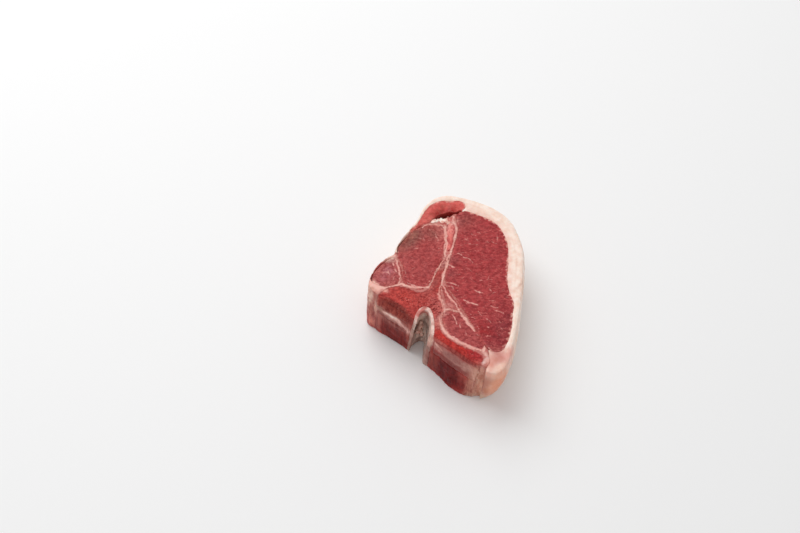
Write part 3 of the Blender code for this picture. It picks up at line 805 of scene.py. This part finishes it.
def fatMaterial(name, look):
    material, tree, shader = newMaterial(name)
    lobules = placed(tree, "lobules", Lobule_Size=look["lobule"])
    body = toned(tree, painted(tree)["Color"], ramp(tree, lobules["Clouds"], 0.34, 0.66), look)
    crease = ramp(tree, lobules["Lobules"], 0.35, 0.85)
    body = blend(tree, "MULTIPLY", calc(tree, "MULTIPLY", crease, look["creaseShow"]), body,
                 look["creaseTint"])
    finishShader(tree, shader, body, lobules["Height"], look)
    return material


def boneMaterial(name, look):
    material, tree, shader = newMaterial(name)
    pores = placed(tree, "pores", Pore_Size=look["pore"], Cover=look["cover"])
    grain = placed(tree, "grain", Bundle_Size=0.9, Stretch=0.8)
    spongy = painted(tree, "spongy")["Fac"]
    body = toned(tree, painted(tree)["Color"], ramp(tree, grain["Mottle"], 0.36, 0.64), look)
    body = over(tree, body, calc(tree, "MULTIPLY", pores["Struts"], spongy), look["strutShow"],
                look["strutTint"])
    body = over(tree, body, calc(tree, "MULTIPLY", pores["Pores"], spongy), look["poreShow"],
                look["poreTint"])
    hollow = calc(tree, "MULTIPLY", pores["Height"], spongy)
    height = calc(tree, "ADD", hollow, calc(tree, "MULTIPLY", grain["Height"], 0.5))
    finishShader(tree, shader, body, height, look)
    return material


# How each tissue looks: dark and light multiply the painted colour, and soak is how far light sinks in.
looks = {
    "lean": {
        "bundle": 1.15, "turn": 0.65, "stretch": 0.6, "dark": (0.7, 0.48, 0.52), "light": (1.23, 1.5, 1.45),
        "bundleShow": 0.3, "fleckShow": 0.5, "fatTint": hue(214, 112, 106),
        "threadShow": 0.92, "threadTint": hue(242, 176, 165),
        "wet": 0.26, "dry": 0.5, "gloss": 0.13, "bump": 0.45, "soak": 0.1, "soakColour": (1.0, 0.3, 0.25),
    },
    "pale": {
        "lobule": 0.9, "dark": (0.78, 0.62, 0.6), "light": (1.08, 1.16, 1.16),
        "creaseShow": 0.4, "creaseTint": (0.88, 0.66, 0.62), "threadShow": 0.9,
        "threadTint": hue(244, 188, 175),
        "wet": 0.26, "dry": 0.5, "gloss": 0.18, "bump": 0.4, "soak": 0.12, "soakColour": (1.0, 0.5, 0.4),
    },
    "bone": {
        "pore": 1.0, "cover": 0.9, "dark": (0.66, 0.48, 0.5), "light": (1.2, 1.36, 1.34),
        "strutShow": 0.7, "strutTint": hue(228, 144, 134), "poreShow": 0.95, "poreTint": hue(104, 18, 22),
        "threadShow": 0.85, "threadTint": hue(238, 170, 158),
        "wet": 0.26, "dry": 0.48, "gloss": 0.08, "bump": 0.5, "soak": 0.08, "soakColour": (1.0, 0.3, 0.2),
    },
    "fat": {
        "lobule": 1.6, "dark": (0.93, 0.85, 0.81), "light": (1.01, 1.03, 1.04),
        "creaseShow": 0.25, "creaseTint": (0.95, 0.85, 0.8), "threadShow": 0.9,
        "threadTint": hue(252, 226, 212),
        "wet": 0.3, "dry": 0.52, "gloss": 0.2, "bump": 0.3, "soak": 0.15, "soakColour": (1.0, 0.6, 0.45),
    },
}
makers = {"lean": leanMaterial, "pale": fatMaterial, "bone": boneMaterial, "fat": fatMaterial}


# The pieces of the chop.

boxSlack = 0.02  # mm that every piece stays inside the whole chop's box


def tissue(name, part, extra=None):  # one piece: its skin, its colours, its relief and what it stands for
    obj = skinOf(part["node"], name, part["grid"], part.get("fineFaces", True), part.get("tuck", 0.0))
    field = measured(obj, part["node"])
    colours = np.tile(hue(*part["base"]), (len(field["flat"]), 1))
    for place, reach, colour, weight, crisp in part.get("spots", []):
        colours = mix(colours, spread(field, place, reach, crisp) * weight, hue(*colour))
    threads = threadMask(field, seamLines + marbling + (fineThreads if part["look"] == "lean" else []))
    if extra:
        colours, threads = extra(obj, field, colours, threads)
    colours = lined(field, patched(field, colours, topPatches + frontPatches), frontLines)
    for label, values in (("paint", colours), ("thread", threads), ("edge", field["edge"]),
                          ("cut", field["cut"])):
        store(obj.data, label, values)
    co = coords(obj.data)
    for place, reach, shift in hollows:
        away = ((field["place"] - place) / reach) ** 2
        co += np.exp(-away.sum(1))[:, None] * np.array(shift) * mm
    within = np.sin(np.pi * np.clip(field["height"] / thick, 0, 1)) * mm
    for size, seed, rise in frontWaves:
        co[:, 2] += ragged(field, size, seed, rise) * within
    obj.data.vertices.foreach_set("co", co.ravel())
    material = makers[part["look"]](name + "_" + part["look"],
                                    {**looks[part["look"]], **part.get("tune", {})})
    freeze(obj, relief, Material=material, **part["relief"])
    keepInside(obj.data, boxSlack)
    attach(obj, "root")
    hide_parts(part["node"])
    print(obj.name, sum(len(p.vertices) - 2 for p in obj.data.polygons), "triangles")


# The borders of the lean: the rim at a seam, teeth of fat that reach in, film on the bare outside and the
# dried edge.
leanEdges = {
    "rim": (190, 92, 88), "rimWidth": 0.5, "rimShow": 0.45, "teeth": (236, 172, 160), "teethWidth": 2.4,
    "teethShow": 0.8,
    "film": (214, 150, 140), "filmShow": 0.6, "dry": (172, 92, 80), "dryShow": 0.45,
}


def leanBorders(obj, field, colours, threads):
    x, y = field["flat"].T
    face = abs(field["cut"])
    edge = field["edge"] + ragged(field, 0.9, 31, leanEdges["rimWidth"])
    rim = smooth(leanEdges["rimWidth"], 0.1, edge) * face
    colours = mix(colours, rim * leanEdges["rimShow"], hue(*leanEdges["rim"]))
    film = smooth(0.4, 0.75, patchy(field, 3.0, 32, 0.35) * 0.7 + patchy(field, 0.9, 34, 0.3) * 0.3)
    film *= smooth(1.6, 0.6, field["outer"]) * (1 - face * 0.7) * (y > 5)
    colours = mix(colours, film * leanEdges["filmShow"], hue(*leanEdges["film"]))
    fatAway = nearest(field["flat"], outlines["fat_cap"][0])[0]
    fatAway = fatAway + ragged(field, 1.0, 37, leanEdges["teethWidth"], 0.2)
    colours = mix(colours, smooth(0.8, 0.1, fatAway) * face * leanEdges["teethShow"],
                  hue(*leanEdges["teeth"]))
    dry = smooth(5.0, 2.2, field["outer"] + ragged(field, 1.8, 35, 4))
    dry = dry * smooth(-24, -30, x) * smooth(24, 30, y)
    dry = dry * leanEdges["dryShow"] * patchy(field, 0.8, 36) * 1.4
    return mix(colours, dry, hue(*leanEdges["dry"])), threads


softMuscle = {"RimDrop": 0.1, "RimWidth": 1.4, "Swell": 0.22, "SwellSize": 4.0, "Grain": 0.08,
              "GrainSize": 0.8,
              "ThreadRise": 0.05, "Seed": 2.0}
# Each muscle: its grid and colour, its soft spots (place, reach, colour, weight and how crisp) and what
# differs in its look.
muscles = {
    "eye": {
        "node": "eye_muscle", "grid": 0.5, "base": (166, 62, 64),
        "spots": [
            ((29, 22, 28), (6, 14, 99), (136, 52, 56), 0.85, 1),
            ((31, 12, 28), (6, 6, 99), (146, 56, 60), 0.7, 1),
            ((22.5, 14, 28), (5, 3, 99), (156, 42, 44), 0.8, 1),
            ((-19, 58, 28), (5, 6, 99), (152, 78, 74), 0.7, 1),
            ((-6, 30, 28), (2.5, 3.5, 99), (140, 64, 64), 0.6, 1),
            ((-8.8, 37, 28), (2.2, 2.6, 99), (146, 70, 70), 0.7, 1),
        ],
    },
    "fillet": {
        "node": "fillet_muscle", "grid": 0.45, "tuck": 0.3, "base": (169, 70, 70),
        "spots": [
            ((-34, 35, 28), (5.5, 9, 99), (138, 84, 76), 1.0, 1.5),
            ((-26, 43, 28), (3.5, 3, 99), (140, 84, 76), 0.7, 1),
            ((-22, 45, 28), (2, 3, 99), (190, 100, 94), 0.7, 1),
        ],
        "tune": {"stretch": 0.8, "bundle": 0.9, "fleckShow": 0.35, "bundleShow": 0.25},
    },
    "side": {
        "node": "side_muscle", "grid": 0.42, "tuck": 0.4, "base": (168, 79, 78),
        "spots": [
            ((-30, 14, 28), (2.2, 2.2, 99), (182, 110, 120), 0.6, 1),
            ((-29, 10, 28), (2, 2, 99), (176, 96, 104), 0.6, 1),
        ],
        "tune": {"stretch": 0.9, "fleckShow": 0.4},
    },
    "wedge": {"node": "wedge_muscle", "grid": 0.4, "base": (172, 78, 76)},
    "back": {"node": "back_muscle", "grid": 0.42, "base": (166, 72, 72)},
    "flank": {
        "node": "flank_muscle", "slot": "pale_lean", "grid": 0.42, "base": (221, 100, 94),
        "spots": [
            # The wall of the gap is painted darker with depth, down to the deep spot here: painted shade in
            # the gap.
            ((-28, 57, 8), (6, 8, 13), (120, 22, 28), 0.95, 2),
            ((-30, 56.5, 26), (2.6, 6, 3.2), (206, 70, 66), 0.8, 1),
            ((-34, 62, 28), (5, 3, 99), (226, 112, 104), 0.6, 1),
            # From here, the edge along the gap, painted darker: painted shade where the wall turns down into
            # the gap.
            ((-31.6, 54.2, 27), (2.4, 2.4, 5), (164, 44, 46), 0.9, 2),
            ((-29.8, 57, 27), (2.4, 2.4, 5), (160, 40, 44), 0.9, 2),
            ((-28, 59.6, 27), (2.4, 2.4, 5), (164, 44, 46), 0.9, 2),
        ],
        "tune": {"stretch": 0.7, "turn": 0.9, "fleckShow": 0.25, "dark": (0.82, 0.7, 0.7),
                 "light": (1.12, 1.25, 1.25)},
    },
    "stem": {
        "node": "stem_muscle", "slot": "pale_lean", "grid": 0.4, "base": (218, 110, 105),
        "tune": {"stretch": 0.4, "turn": -0.9},
    },
    "corner": {"node": "corner_lean", "slot": "corner_lean", "grid": 0.4, "base": (176, 92, 86)},
}
for name, part in muscles.items():
    tissue(name, {"slot": "lean", "look": "lean", "relief": softMuscle, **part}, leanBorders)


# Where the open cells of the marrow show: a place, how far round it that reaches and how strongly.
spongyZones = [
    ((-2, 12, 28), (8, 5.5, 99), 1.0), ((-13.5, 6.8, 28), (5, 2.6, 6), 0.8),
    ((-14, 0, 25), (12, 2.4, 4), 0.4),
    ((26, 2, 28), (4, 2.4, 4), 0.5), ((16, 1, 28), (10, 3, 6), 0.15),
]


def boneZones(obj, field, colours, threads):
    spongy = 0.05 + sum(weight * spread(field, place, reach) for place, reach, weight in spongyZones)
    store(obj.data, "spongy", np.clip(spongy, 0, 1))
    return colours, threads


bone = {
    "node": "t_bone", "slot": "bone", "look": "bone", "grid": 0.45, "base": (176, 70, 66),
    "relief": {"RimDrop": 0.05, "Swell": 0.25, "SwellSize": 4.0, "Grain": 0.1, "GrainSize": 0.8,
               "Sink": 0.05,
               "Seed": 5.0},
    "spots": [
        ((-16, 6, 28), (9, 4.5, 9), (196, 76, 70), 1.0, 1),
        ((1, 13, 28), (5, 5, 99), (194, 100, 94), 0.7, 1.5),
        ((-4.4, 14.8, 28), (3, 3, 99), (200, 98, 94), 0.7, 1),
        ((-12, 33, 28), (2, 5, 99), (186, 118, 110), 0.8, 1.5),
        ((-9, 24, 28), (1.6, 7, 99), (170, 72, 70), 0.7, 1),
        ((16, 1, 27.4), (12, 3, 3.2), (196, 58, 52), 0.95, 2),
        ((26, 2, 27.4), (4, 3, 3), (166, 46, 50), 0.8, 1.5),
    ],
}
tissue("sawn_bone", bone, boneZones)

lining = {
    "node": "canal_lining", "slot": "canal_lining", "look": "pale", "grid": 0.38, "base": (222, 196, 184),
    "relief": {"RimDrop": 0.0, "Swell": 0.2, "SwellSize": 3.0, "Grain": 0.08, "Seed": 6.0},
    "grey": (150, 128, 118), "greyShow": 0.7, "pale": (226, 206, 196), "paleShow": 0.5,
    "rim": (238, 206, 196), "rimBlotch": (206, 130, 122), "rimDepth": (3.2, 0.8),
}


def liningZones(obj, field, colours, threads):
    colours = mix(colours, smooth(0.45, 0.75, patchy(field, 2.0, 61)) * lining["greyShow"],
                  hue(*lining["grey"]))
    colours = mix(colours, smooth(0.6, 0.8, patchy(field, 1.3, 62)) * lining["paleShow"],
                  hue(*lining["pale"]))
    blotch = smooth(0.35, 0.7, patchy(field, 1.6, 63)) * smooth(2.0, -3.0, field["flat"][:, 0])
    rim = mix(np.tile(hue(*lining["rim"]), (len(blotch), 1)), blotch, hue(*lining["rimBlotch"]))
    start, full = (thick - depth for depth in lining["rimDepth"])
    share = smooth(start, full, field["loose"][:, 2] + ragged(field, 2.2, 64, 2.4))
    return colours + (rim - colours) * share[:, None], threads


tissue("canal_wall", lining, liningZones)

for name, node, slot, seed in (("cartilage_disc", "disc", "cartilage", 8.0),
                               ("ligament_band", "spine_ligament", "ligament", 9.0)):
    reliefHere = {"RimDrop": 0.0, "Swell": 0.3, "SwellSize": 3.0, "Grain": 0.08, "Seed": seed}
    tissue(name, {"node": node, "slot": slot, "look": "pale", "grid": 0.4, "base": bone["base"],
                  "spots": bone["spots"], "relief": reliefHere})


web = {
    "node": "connective_web", "slot": "connective", "look": "pale", "grid": 0.44, "fineFaces": False,
    "base": (180, 84, 80), "wide": (206, 108, 102), "wideShow": 0.7, "whiteMiddle": 0.32,
    "film": (216, 160, 150), "filmShow": 0.75, "specks": (244, 214, 200), "specksShow": 0.9,
    "relief": {"RimDrop": 0.0, "Sink": 0.1, "Swell": 0.25, "SwellSize": 3.0, "Grain": 0.12,
               "GrainSize": 0.9,
               "Seed": 4.0},
}


# Whiter along the middle of a seam, with film and fat on the bare outside.
def webZones(obj, field, colours, threads):
    face = abs(field["cut"])
    middle = smooth(0.05, 0.3, field["edge"] + ragged(field, 1.1, 33, 0.5)) * face
    wide = smooth(0.7, 1.3, field["edge"])
    colours = mix(colours, wide * web["wideShow"], hue(*web["wide"]))
    bare = smooth(1.6, 0.6, field["outer"]) * (1 - face) * (field["flat"][:, 1] > 5)
    film = smooth(0.3, 0.6, patchy(field, 2.6, 81, 0.25) * 0.6 + patchy(field, 0.8, 82, 0.3) * 0.4)
    colours = mix(colours, bare * film * web["filmShow"], hue(*web["film"]))
    specks = smooth(0.6, 0.75, patchy(field, 1.5, 83, 0.4) * 0.7 + patchy(field, 0.6, 84) * 0.3)
    colours = mix(colours, bare * specks * web["specksShow"], hue(*web["specks"]))
    return colours, np.maximum(threads, middle * web["whiteMiddle"] * (1 - wide))


tissue("seams", web, webZones)

fat = {
    "node": "fat_cap", "slot": "fat", "look": "fat", "grid": 0.5, "base": (255, 233, 220),
    "inner": (242, 192, 178), "innerShow": 0.6,  # the pinker band beside the lean
    # The line between two layers.
    "layer": (226, 172, 150), "layerShow": 0.3, "layerIn": 2.4, "layerWidth": 0.4,
    "streak": (206, 150, 122), "streakShow": 0.45, "streakPlace": (21.5, 44, 28),
    "streakReach": (0.8, 3.2, 9),
    "vein": (226, 158, 142), "veinShow": 0.5, "veinWidth": 0.04, "dried": (240, 196, 166),
    "driedShow": 0.35,
    "relief": {"RimDrop": 0.2, "RimWidth": 1.0, "Swell": 0.35, "SwellSize": 6.0, "Grain": 0.06,
               "GrainSize": 1.2,
               "Seed": 11.0},
}


def fatZones(obj, field, colours, threads):
    face = abs(field["cut"])
    inner = smooth(2.6, 0.0, field["edge"] + ragged(field, 2.5, 41, 2))
    inner = inner * smooth(2.0, 3.5, field["outer"]) * face
    colours = mix(colours, inner * fat["innerShow"], hue(*fat["inner"]))
    away = (field["outer"] - fat["layerIn"] - patchy(field, 9, 43)) / fat["layerWidth"]
    layer = np.exp(-(away**2)) * face
    colours = mix(colours, layer * fat["layerShow"] * patchy(field, 5, 44), hue(*fat["layer"]))
    streak = spread(field, fat["streakPlace"], fat["streakReach"])
    colours = mix(colours, streak * fat["streakShow"], hue(*fat["streak"]))
    wander = patchy(field, 6, 46, 0.5) + 0.35 * patchy(field, 1.6, 47, 0.6)
    vein = np.exp(-(((wander - 0.66) / fat["veinWidth"]) ** 2))
    vein = vein * smooth(0.45, 0.7, patchy(field, 8, 48)) * (1 - face)
    colours = mix(colours, vein * fat["veinShow"], hue(*fat["vein"]))
    dried = smooth(0.5, 0.8, patchy(field, 9, 45, 0.5)) * (1 - face) * fat["driedShow"]
    return mix(colours, dried, hue(*fat["dried"])), threads


tissue("outer_fat", fat, fatZones)


# Soft crumbs strung along a path, melted into one lump.
def crumbTree():
    tree, given, result = newTree("soft crumbs along a path", "GeometryNodeTree", [
        ("Geometry", "Geometry", None), ("Spacing", "Float", 0.5), ("Crumb Size", "Float", 0.7),
        ("Size Spread", "Float", 0.5),
        ("Stray", "Float", 0.4), ("Taper", "Float", 0.3), ("Fineness", "Float", 0.2),
        ("Ruffle", "Float", 0.3),
        ("Seed", "Int", 1), ("Material", "Material", None)], [("Geometry", "Geometry")])
    path = addNode(tree, "GeometryNodeMeshToCurve", {"Mesh": given["Geometry"]}).outputs[0]
    gap = calc(tree, "MULTIPLY", given["Spacing"], mm)
    even = addNode(tree, "GeometryNodeResampleCurve", {"Curve": path, "Length": gap},
                   mode="LENGTH").outputs[0]
    along = addNode(tree, "GeometryNodeSplineParameter").outputs["Factor"]
    least = calc(tree, "SUBTRACT", 1.0, given["Size Spread"])
    links = {2: least, 3: 1.0, "Seed": given["Seed"]}
    share = addNode(tree, "FunctionNodeRandomValue", links, data_type="FLOAT").outputs[1]
    narrow = calc(tree, "SUBTRACT", 1.0, calc(tree, "MULTIPLY", along, given["Taper"]))
    radius = calc(tree, "MULTIPLY", calc(tree, "MULTIPLY", share, narrow),
                  calc(tree, "MULTIPLY", given["Crumb Size"], mm))
    links = {"Geometry": even, "Name": "crumb", "Value": radius}
    kept = addNode(tree, "GeometryNodeStoreNamedAttribute", links, data_type="FLOAT",
                   domain="POINT").outputs[0]
    points = addNode(tree, "GeometryNodeCurveToPoints", {"Curve": kept}, mode="EVALUATED").outputs[0]
    links = {0: (-1.0, -1.0, -1.0), 1: (1.0, 1.0, 1.0), "Seed": calc(tree, "ADD", given["Seed"], 7)}
    ways = addNode(tree, "FunctionNodeRandomValue", links, data_type="FLOAT_VECTOR").outputs[0]
    stray = vector(tree, "SCALE", ways, calc(tree, "MULTIPLY", given["Stray"], mm))
    strewn = addNode(tree, "GeometryNodeSetPosition", {"Geometry": points, "Offset": stray}).outputs[0]
    cellSize = calc(tree, "MULTIPLY", given["Fineness"], mm)
    links = {"Points": strewn, "Voxel Size": cellSize, "Radius": attributeField(tree, "crumb")}
    body = addNode(tree, "GeometryNodePointsToVolume", links, resolution_mode="VOXEL_SIZE").outputs[0]
    melted = addNode(tree, "GeometryNodeVolumeToMesh", {"Volume": body, "Threshold": 0.1},
                     resolution_mode="GRID").outputs[0]
    ruffle = vector(tree, "SUBTRACT", noiseField(tree, 0.9, 3.0, 3.0)[1], (0.5, 0.5, 0.5))
    ruffle = vector(tree, "SCALE", ruffle, calc(tree, "MULTIPLY", given["Ruffle"], 2 * mm))
    ruffled = addNode(tree, "GeometryNodeSetPosition", {"Geometry": melted, "Offset": ruffle}).outputs[0]
    return closeTree(tree, given, result, ruffled)


crumbs = crumbTree()
# Small torn bits: their paths over the plan with heights, their size and two colours that they turn between.
tornBits = {
    "crumbly_ridge": {
        "paths": [((-30.5, 48.3, 27.6), (-29.6, 50.1, 27.5), (-28.5, 51.6, 27.3), (-27.2, 52.9, 27.2),
                   (-25.8, 53.9, 27.2), (-24.6, 53.4, 27.3), (-24.5, 51.8, 27.5)),
                  ((-28.6, 51.6, 26.4), (-27, 53, 26.2), (-25.6, 54, 26.2)),
                  ((-27.6, 51.2, 27.6), (-26.2, 52.4, 27.6), (-25.2, 52.6, 27.6))],
        "slot": "connective", "colours": ((252, 232, 220), (232, 176, 162)),
        "shape": {"Spacing": 0.25, "CrumbSize": 1.0, "SizeSpread": 0.6, "Stray": 0.45, "Taper": 0.2,
                  "Ruffle": 0.35, "Seed": 4}},
    "torn_spur": {
        "paths": [((-24.8, 54, 27.2), (-25, 55.6, 27.3), (-25.2, 57.2, 27.1), (-25.4, 58.8, 26.6)),
                  ((-26.4, 54.4, 26), (-27.4, 56.2, 25), (-28, 58.6, 23))],
        "slot": "connective", "colours": ((244, 206, 194), (222, 136, 126)),
        "shape": {"Spacing": 0.3, "CrumbSize": 0.8, "SizeSpread": 0.3, "Stray": 0.15, "Taper": 0.6,
                  "Ruffle": 0.15, "Seed": 9}},
    "cavity_flesh": {
        "paths": [((-29.6, 52.6, 21), (-29, 54.4, 21.6), (-28.2, 56.4, 22), (-27.4, 58.4, 22.6),
                   (-26.4, 60, 23.4)),
                  ((-28.6, 53.4, 19), (-27.8, 55.6, 19.4), (-26.8, 57.8, 20))],
        "slot": "lean", "colours": ((150, 44, 44), (108, 26, 28)),
        "shape": {"Spacing": 0.4, "CrumbSize": 1.2, "SizeSpread": 0.4, "Stray": 0.3, "Taper": 0.0,
                  "Ruffle": 0.4, "Seed": 21}},
    "canal_scrap": {
        "paths": [((-3.4, 4.6, 20), (-2.9, 3.6, 18.4), (-2.5, 3.0, 16.4), (-2.6, 3.0, 14.6)),
                  ((-2.6, 4.4, 16), (-1.6, 4.0, 14.6), (-1.0, 4.2, 13))],
        "slot": "canal_lining", "colours": ((214, 178, 164), (164, 130, 118)),
        "shape": {"Spacing": 0.3, "CrumbSize": 1.3, "SizeSpread": 0.35, "Stray": 0.3, "Taper": 0.1,
                  "Fineness": 0.25, "Ruffle": 0.4, "Seed": 13}},
}


def leaned(x, y, z):  # a plan place at a height, with the askew cut's shift put back, in metres
    shift = sum(np.exp(-((x - at[0]) ** 2 + (y - at[1]) ** 2) / reach**2) * (1 - z / thick) * np.array(move)
                for at, move, reach in sawLean)
    return (*((np.array((x, y)) + shift + planZero) * mm), z * mm)


for name, bit in tornBits.items():
    mesh = bpy.data.meshes.new(name)
    places, joins = [], []
    for path in bit["paths"]:
        start = len(places)
        places += [leaned(*place) for place in path]
        joins += [(k, k + 1) for k in range(start, len(places) - 1)]
    mesh.from_pydata(places, joins, [])
    obj = bpy.data.objects.new(name, mesh)
    scene.collection.objects.link(obj)
    material = fatMaterial(name + "_finish", {**looks["pale"], "lobule": 0.7})
    freeze(obj, crumbs, Material=material, **bit["shape"])
    turns = smooth(0.3, 0.7, cloud(coords(obj.data) / mm, 1.2, 51))
    first, second = (hue(*colour) for colour in bit["colours"])
    store(obj.data, "paint", mix(np.tile(first, (len(turns), 1)), turns, second))
    store(obj.data, "thread", np.zeros(len(turns)))
    keepInside(obj.data)
    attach(obj, "root")
    print(name, len(obj.data.polygons), "faces")


# Floor, lights and camera.

floorMesh = bpy.data.meshes.new("floor")
floorMesh.from_pydata([(-3, -3, 0), (3, -3, 0), (3, 3, 0), (-3, 3, 0)], [], [(0, 1, 2, 3)])
floor = bpy.data.objects.new("floor", floorMesh)
scene.collection.objects.link(floor)
material, _, shader = newMaterial("pale_floor")
shader.inputs["Base Color"].default_value = (0.92, 0.92, 0.92, 1.0)
shader.inputs["Roughness"].default_value = 0.8
floorMesh.materials.append(material)

world = bpy.data.worlds.new("studio")
world.use_nodes = True
sky = world.node_tree.nodes["Background"].inputs
sky["Color"].default_value = (1.0, 1.0, 1.0, 1.0)
sky["Strength"].default_value = 0.55
scene.world = world


def softbox(name, place, aim, size, power):
    light = bpy.data.lights.new(name, "AREA")
    light.shape = "RECTANGLE"
    light.size, light.size_y = size
    light.energy = power
    made = bpy.data.objects.new(name, light)
    made.location = place
    made.rotation_mode = "QUATERNION"
    made.rotation_quaternion = (Vector(aim) - Vector(place)).to_track_quat("-Z", "Y")
    scene.collection.objects.link(made)


softbox("key", (-0.55, 0.2, 0.85), (0, 0, 0), (0.9, 0.9), 6.4)
softbox("fill", (0.35, -0.85, 0.4), (0, 0, 0.01), (0.8, 0.6), 0.35)

view = {"aim": (-0.04003, 0.00052, 0.0), "turn": 37.3, "rise": 55.0, "distance": 0.667, "lens": 63.0}
turn, rise = np.radians(view["turn"]), np.radians(view["rise"])
back = Vector((np.sin(turn) * np.cos(rise), -np.cos(turn) * np.cos(rise), np.sin(rise)))
camera = bpy.data.objects.new("camera", bpy.data.cameras.new("camera"))
camera.data.lens = view["lens"]
camera.data.sensor_width = 36.0
camera.data.clip_start, camera.data.clip_end = 0.01, 10.0
camera.location = Vector(view["aim"]) + back * view["distance"]
camera.rotation_mode = "QUATERNION"
camera.rotation_quaternion = (-back).to_track_quat("-Z", "Y")
scene.collection.objects.link(camera)
scene.camera = camera
scene.view_settings.view_transform = "Standard"

bpy.context.view_layer.update()
